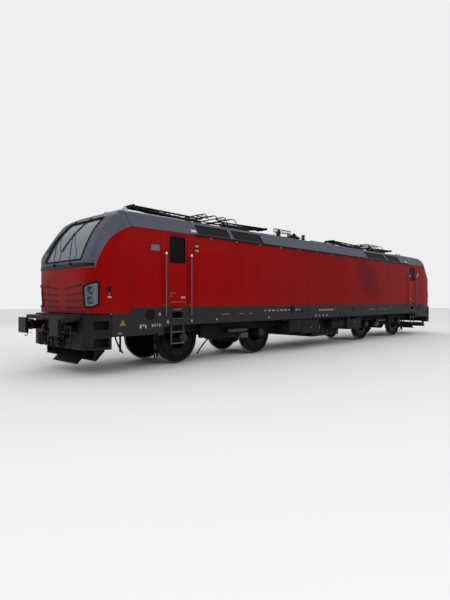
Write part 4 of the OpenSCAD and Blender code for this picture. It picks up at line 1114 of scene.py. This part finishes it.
fit(panel, BOTH_ENDS, "antenna_white", white)

# %% [markdown]
# ## The ends
# Behind each buffer plate sit a rubber-sealed sleeve and four bolts. The screw coupling has a
# threaded bar with a weighted lever, each brake hose ends in a red or grey cock, and a line of
# rivets runs down the edge of the end module.

# %% Buffers, coupling, hoses and rivets
BUFFER_Y, BUFFER_H = 0.875, 1.06
ends = []
for y in (-BUFFER_Y, BUFFER_Y):
    for x, r in ((STOCK_X + 0.022, 0.118), (END_X - 0.19, 0.112)):
        ends.append(turned("collar", [(r - 0.01, 0), (r, 0.006), (r, 0.022), (r - 0.01, 0.028)],
                           (x, y, BUFFER_H), (1, 0, 0), 40))
    head = bolts("bolt", 0.19, 4, (STOCK_X + 0.024, y, BUFFER_H), (1, 0, 0), 0.02)
    ends.append(head)
fit(joined("buffer_collars", ends), BOTH_ENDS, "buffer_steel", worn)

axis = Vector((0.045, 0, 0.23)).normalized()
thread = [turned("thread", [(0.024, 0), (0.028, 0.005), (0.024, 0.01)],
                 Vector((STOCK_X + 0.078, 0, 0.56)) + axis * 0.012 * k, axis, 20) for k in range(14)]
lever = pipe("lever", [(STOCK_X + 0.1, 0, 0.70), (STOCK_X + 0.12, 0.1, 0.70),
                       (STOCK_X + 0.13, 0.2, 0.66)], 0.011, rings=2)
weight = turned("weight", [(0.02, 0), (0.034, 0.01), (0.034, 0.05), (0.02, 0.06)],
                (STOCK_X + 0.128, 0.19, 0.665), (0, 0.9, -0.4), 20)
fit(joined("coupling_threads", thread + [lever, weight]), BOTH_ENDS, "coupling_steel", greased)

cocks, clamps = [], []
for i, y in enumerate((0.26, 0.48)):
    x = STOCK_X + 0.07 + 0.05 * i
    cocks.append(turned("cock", [(0.03, 0), (0.036, 0.01), (0.036, 0.05), (0.026, 0.06)], (x, y, 0.925),
                        (0, 0, 1), 20))
    cocks.append(pipe("handle", [(x, y, 0.975), (x + 0.02, y + 0.04, 0.985),
                                 (x + 0.02, y + 0.1, 0.985)], 0.008, rings=2))
    for place in ((x, y, 0.86), (x, y, 0.71), (x, y + 0.18, 0.71), (x, y + 0.18, 0.8)):
        clamps.append(turned("clamp", [(0.024, 0), (0.027, 0.003), (0.027, 0.015), (0.024, 0.018)],
                             place, (0, 0, 1), 20))
fit(joined("hose_cocks", cocks), CORNERS, "body_red", red)
fit(joined("hose_clamps", clamps), CORNERS, "bright_steel", worn)

rivet = turned("end_rivets", [(0.011, 0), (0.011, 0.003), (0.007, 0.007)], (0, 0, 0), (0, 1, 0), 10)
rivet = spread(rivet, [at(8.53, HALF_W - 0.021, 0.62 + 0.065 * k)
                       for k in range(6)] + [at(8.53, HALF_W - 0.021, 1.04 + 0.04 * k)
                                             for k in range(6)])
fit(rivet, CORNERS, "bright_steel", worn)
y = 1.16
grab = pipe("grab", [(STOCK_X - 0.002, y, 1.09), (STOCK_X + 0.05, y, 1.09), (STOCK_X + 0.06, y, 1.08),
                     (STOCK_X + 0.06, y, 0.8), (STOCK_X + 0.05, y, 0.79), (STOCK_X - 0.002, y, 0.79)],
            0.012, rings=2)
plate = framed("step", (STOCK_X - 0.001, 0.62, 1.17), (STOCK_X + 0.012, 1.12, 1.205), 0.006, 0.003, "X")
fit(joined("end_grab_irons", [grab, plate]), CORNERS, "bright_steel", worn)
print("underfloor and ends done, pieces so far:", len(made))

# %% [markdown]
# ## Pantographs
# The frame has the arms, hinges and contact strips. What is still missing is the slender hardware:
# raising bellows and springs on the base, bracing wires between the upper arms, flexible copper
# leads over the hinges and the springs under the head. Each rides the arm that it is fixed to.

# %% Hardware on each pantograph
HINGE_X, WAYS, HINGE_Z = (-5.45, -3.82, 3.82, 5.45), (-1, 1, -1, 1), 3.98
KNEE, HEAD = Vector((1.747, 0, 0.1)), Vector((-0.452, 0, 0.06))


def upper(share, y, rise=0.0):
    """A point between the knee and the head, at one side"""
    return KNEE.lerp(HEAD, share) + Vector((0, y, rise))


def coil_x(name, x0, x1, y, z, radius, wire, turns):
    """A coil spring that lies along x"""
    obj = coil(name, 0, 0, x0, x1, radius, wire, turns)
    obj.data.transform(at(0, y, z) @ Matrix.Rotation(math.pi / 2, 4, "Y"))
    return obj


def pantograph_parts():
    """The pieces of one pantograph about its main hinge, as (body, name, object, slot, finish)"""
    base = []
    for y in (-0.24, 0.24):
        rings = [(0.04 + 0.005 * (k % 2), 0.016 * k) for k in range(18)]
        base.append(turned("bellows", rings, (-0.29, y, -0.02), (1, 0, 0), 24))
        base.append(coil_x("spring", 0.06, 0.36, y, -0.025, 0.03, 0.006, 10))
        base.append(pipe("rod", [(-0.3, y, -0.02), (0.4, y, -0.025), (0.5, y * 0.95, -0.05)], 0.009, rings=1))
    for x in (-0.31, 0.05, 0.44, 0.66):
        base.append(block("cross", (x - 0.018, -0.4, -0.088), (x + 0.018, 0.4, -0.062), 0.005))
    base.append(block("drive_case", (0.4, -0.2, -0.085), (0.62, -0.02, -0.06), 0.006))
    yield "carbody", "base_springs", joined("a", base), "pantograph_grey", gear_grey
    lead = [pipe("lead", [(-0.2, s * 0.3, -0.05), (-0.12, s * 0.29, 0.0), (-0.05, s * 0.24, 0.0),
                          (0.0, s * 0.2, -0.02)], 0.008, rings=1, round_path=True) for s in (-1, 1)]
    yield "carbody", "base_leads", joined("a", lead), "copper", bar_metal
    lower = [pipe("rod", [(0.12, y, -0.03), (0.9, y * 0.8, 0.0), (1.66, y * 0.6, 0.06)], 0.008, rings=1)
             for y in (-0.09, 0.09)]
    lower += [turned("collar", [(0.057, 0), (0.064, 0.004), (0.064, 0.026), (0.057, 0.03)],
                     Vector((x, 0, x * 0.0572)), (1, 0, 0.057), 28) for x in (0.14, 0.85, 1.6)]
    yield "lower_arm", "rods", joined("a", lower), "pantograph_grey", gear_grey
    wires = [pipe("wire", [upper(a, s * 0.19), upper(b, -s * 0.19)], 0.006, rings=1) for a,
             b in ((0.06, 0.3), (0.3, 0.55), (0.55, 0.8)) for s in (-1, 1)]
    wires += [pipe("tie", [upper(a, -0.2), upper(a, 0.2)], 0.01, rings=1) for a in (0.3, 0.55)]
    yield "upper_arm", "braces", joined("a", wires), "pantograph_grey", gear_grey
    spring = [coil("spring", HEAD.x + sx, sy, 0.078, 0.104, 0.013, 0.003, 3) for sx in (-0.15, 0.15)
              for sy in (-0.29, 0.29)]
    bars = [block("bar", (HEAD.x - 0.19, y - 0.01, 0.082), (HEAD.x + 0.19, y + 0.01, 0.1), 0.004)
            for y in (-0.5, 0.5)]
    yield "head", "springs", joined("a", spring + bars), "pantograph_grey", gear_grey


for i, (x, way) in enumerate(zip(HINGE_X, WAYS), 1):
    move = at(x, 0, HINGE_Z) @ Matrix.Scale(way, 4, (1, 0, 0))
    for body, name, obj, slot, finish in pantograph_parts():
        obj.name = f"pantograph_{i}_{body if body != 'carbody' else 'base'}_{name}"
        hand_over(spread(obj, [move]), body if body == "carbody" else f"pantograph_{i}_{body}", slot, finish)
print("pantographs dressed, pieces so far:", len(made))

# %% [markdown]
# ## Roof gear
# Insulators are ribbed so that rain can't bridge them. One is a turned profile with a shed every few
# centimetres. Between the pantographs run the line disconnectors, cables and the main breaker.

# %% Ribbed insulators
def insulator(radius, x, y, low, high):
    """One ribbed post between two heights"""
    core, count = radius * 0.6, int((high - low - 0.05) / 0.028)
    profile = [(radius * 0.8, 0), (radius * 0.8, 0.018), (core, 0.022)]
    for k in range(count):
        z = 0.024 + k * 0.028
        profile += [(core, z), (radius, z + 0.009), (radius, z + 0.014), (core, z + 0.02)]
    profile += [(core, high - low - 0.022), (radius * 0.75, high - low - 0.018), (radius * 0.75, high - low)]
    return turned("insulator", profile, (x, y, low), (0, 0, 1), 20)


BAR_POSTS, BAR_Z = (-1.75, -1.15, 0.35, 1.45), 4.0  # the posts under the bus bar, and its height
LATTICE_POSTS, LATTICE_Y, LATTICE_Z = (-1.75, -1.15), -0.42, (3.985, 4.095)  # the rail beside it
POST_RISE = 0.23
posts = [insulator(0.055, hx + way * lx, y, HATCH_H, HATCH_H + 0.14) for hx, way in zip(HINGE_X, WAYS)
         for lx in (-0.31, 0.66) for y in (-0.4, 0.4)]
posts += [insulator(0.06, x, 0.3, HATCH_H, HATCH_H + POST_RISE) for x in BAR_POSTS]
posts += [insulator(0.05, x, LATTICE_Y, HATCH_H, HATCH_H + POST_RISE) for x in LATTICE_POSTS]
posts += [insulator(0.065, -1.45, -0.25, HATCH_H, HATCH_H + 0.36),
          insulator(0.08, 0.15, -0.1, HATCH_H, HATCH_H + 0.32)]
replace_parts(hand_over(joined("ribbed_insulators", posts), "carbody", "insulator", ceramic), "roof_insulators")

# %% Disconnectors, cables and breaker
gear = []
for y in (0.22, 0.38):
    gear.append(pipe("rail", [(-1.93, y, BAR_Z), (-1.0, y, BAR_Z)], 0.011, rings=2))
for k in range(6):
    gear.append(pipe("rung", [(-1.86 + 0.15 * k, 0.22, BAR_Z), (-1.79 + 0.15 * k, 0.38, BAR_Z)], 0.008,
                     rings=1))
LATTICE = [-1.93 + 0.155 * k for k in range(7)]
for z in LATTICE_Z:
    gear.append(pipe("rail", [(LATTICE[0], LATTICE_Y, z), (LATTICE[-1], LATTICE_Y, z)], 0.014, rings=2))
for k, x in enumerate(LATTICE):
    gear.append(pipe("rung", [(x, LATTICE_Y, LATTICE_Z[0]), (x, LATTICE_Y, LATTICE_Z[1])], 0.009, rings=1))
    if k:
        gear.append(pipe("brace", [(LATTICE[k - 1], LATTICE_Y, LATTICE_Z[0]),
                                   (x, LATTICE_Y, LATTICE_Z[1])], 0.008, rings=1))
for x in LATTICE_POSTS:
    gear.append(block("clamp", (x - 0.05, -0.46, 3.975), (x + 0.05, -0.38, 4.01), 0.006))
gear.append(turned("bell", [(0.05, 0), (0.1, 0.012), (0.1, 0.03), (0.055, 0.06), (0.05, 0.085),
                            (0.03, 0.095)], (-0.42, -0.1, 4.03), (0, 0, 1), 32))
gear.append(pipe("earth_bar", [(0.25, -0.35, 3.8), (0.25, -0.35, 3.88), (0.3, -0.35, 3.9),
                               (1.9, -0.35, 3.9), (1.95, -0.35, 3.88), (1.95, -0.35, 3.8)], 0.018,
                 rings=2))
for x in (0.25, 1.1, 1.95):
    gear.append(turned("foot", [(0.045, 0), (0.045, 0.012), (0.022, 0.02), (0.022, 0.14)],
                       (x, -0.35, HATCH_H - 0.002), (0, 0, 1), 20))
for x in BAR_POSTS:
    gear.append(turned("cap", [(0.05, 0), (0.05, 0.012), (0.03, 0.018)], (x, 0.3, HATCH_H + POST_RISE),
                       (0, 0, 1), 24))
gear.append(turned("cap", [(0.05, 0), (0.06, 0.01), (0.06, 0.022), (0.02, 0.03)],
                   (-1.45, -0.25, HATCH_H + 0.36), (0, 0, 1), 24))
gear.append(turned("cap", [(0.07, 0), (0.078, 0.01), (0.078, 0.04), (0.03, 0.052)],
                   (0.15, -0.1, HATCH_H + 0.32), (0, 0, 1), 24))
for x in (-0.62, -0.5, -0.38, -0.26):
    gear.append(turned("ring", [(0.084, 0), (0.094, 0.006), (0.094, 0.018), (0.084, 0.024)],
                       (x, -0.1, HATCH_H + 0.2), (1, 0, 0), 32))
gear.append(framed("lid", (-0.68, -0.33, HATCH_H + 0.1), (-0.17, 0.13, HATCH_H + 0.085), 0.03, 0.004, "Y"))
for y in (-0.9, -0.7, 0.72):
    gear.append(pipe("conduit", [(-2.1, y, HATCH_H - 0.012), (2.1, y, HATCH_H - 0.012)], 0.016, rings=2))
hand_over(joined("line_disconnectors", gear), "carbody", "roof_gear_grey", gear_grey)

leads = []
for way in (-1, 1):
    start = (-1.85, 0.3, BAR_Z) if way < 0 else (1.55, 0.3, BAR_Z)
    for hx in (3.14, 4.79):
        leads.append(pipe("cable", [start, ((start[0] + way * hx) / 2, 0.34, 3.9),
                                    (way * hx, 0.4, 3.935)], 0.012, rings=2, round_path=True))
leads.append(pipe("cable", [(-1.05, 0.3, BAR_Z), (-0.8, 0.1, 3.97), (-0.65, -0.1, 3.96)], 0.012,
                  rings=2, round_path=True))
leads.append(pipe("cable", [(-0.2, -0.1, 3.96), (0.0, -0.1, BAR_Z), (0.15, -0.1, 4.08),
                            (0.35, 0.3, BAR_Z)], 0.012, rings=2, round_path=True))
leads.append(pipe("cable", [(-1.45, -0.25, 4.12), (-1.35, 0.0, 4.06), (-1.15, 0.3, 4.01)], 0.01,
                  rings=2, round_path=True))
hand_over(joined("roof_cables", leads), "carbody", "copper", bar_metal)
print("roof gear done, pieces so far:", len(made))

# %% [markdown]
# ## Driver's seat
# A seat cushion is crowned: full in the middle, drawn in at its edges and between its corners. It
# starts as a box, is cut finely, and each point is then pulled in by how near it lies to an edge.
# A subdivision surface rounds it.

# %% Seat cushions, backs and posts
def cushion(name, low, high, crown):
    """A crowned pad that fills the box between two corners, soft at every edge"""
    low, high = Vector(low), Vector(high)
    middle, half = (low + high) / 2, (high - low) / 2
    only(None)
    bpy.ops.mesh.primitive_cube_add(size=2)
    obj = added(name)
    pick(obj, lambda c, n: True)
    bpy.ops.mesh.subdivide(number_cuts=9)
    done(obj)
    thin = min(range(3), key=lambda i: half[i])
    for vertex in obj.data.vertices:
        c = vertex.co.copy()
        wide = [abs(c[i]) for i in range(3) if i != thin]
        edge = max(wide)
        height = (1 - crown * edge ** 4) * (1 - 0.06 * wide[0] ** 2 * wide[1] ** 2)
        draw = 1 - 0.035 * (1 - min(wide) ** 2) * (abs(c[thin]) < 0.99) - 0.05 * abs(c[thin]) ** 3
        for i in range(3):
            c[i] *= height if i == thin else draw
        vertex.co = middle + Vector(a * b for a, b in zip(c, half))
    tidy_normals(obj)
    return modify(obj, "SUBSURF", levels=1, render_levels=1)


seat_low, seat_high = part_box("driver_seats")
print("seats", [round(v, 2) for v in seat_low], [round(v, 2) for v in seat_high])
SEAT_X, SEAT_Y = NOSE_X - 1.5, 0.4
pad = cushion("seat_cushions", (SEAT_X - 0.22, SEAT_Y - 0.235, 1.865),
              (SEAT_X + 0.235, SEAT_Y + 0.235, 1.968), 0.3)
rest = cushion("seat_backs", (SEAT_X - 0.05, SEAT_Y - 0.225, 1.98),
               (SEAT_X + 0.04, SEAT_Y + 0.225, 2.61), 0.25)
for vertex in rest.data.vertices:
    vertex.co.x -= 0.11 + 0.19 * (vertex.co.z - 1.98)
for obj in (pad, rest):
    piece = fit(obj, BOTH_ENDS, "seat_cloth", cloth, 60)
stand = [turned("stand", [(0.14, 0), (0.13, 0.03), (0.075, 0.05), (0.07, 0.2), (0.085, 0.21),
                          (0.085, 0.38)], (SEAT_X, SEAT_Y, FLOOR_H), (0, 0, 1), 36),
         block("pan", (SEAT_X - 0.22, SEAT_Y - 0.21, 1.85), (SEAT_X + 0.21, SEAT_Y + 0.21, 1.872), 0.008)]
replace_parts(fit(joined("seat_stands", stand), BOTH_ENDS, "interior_dark", desk_dark), "driver_seats")

screens = [framed("screen", (8.1, y - 0.12, 2.24), (8.08, y + 0.12, 2.4), 0.012, 0.004, "X", 0.01, 2)
           for y in (0.15, 0.42, 0.69)]
levers = [pipe("lever", [(8.2, y, 2.2), (8.17, y, 2.3)], 0.01, rings=2) for y in (0.02, 0.82)]
fit(joined("desk_screens", screens + levers), BOTH_ENDS, "interior_dark", black)
print("cab done, pieces so far:", len(made))

# %% Sizes
low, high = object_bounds()
sizes = {"cad": [list(cad_low), list(cad_high)], "visual": [list(low), list(high)]}
print("pieces", len(made), "grows by", [round(a - b, 3) for a, b in zip(high - low, cad_high - cad_low)])
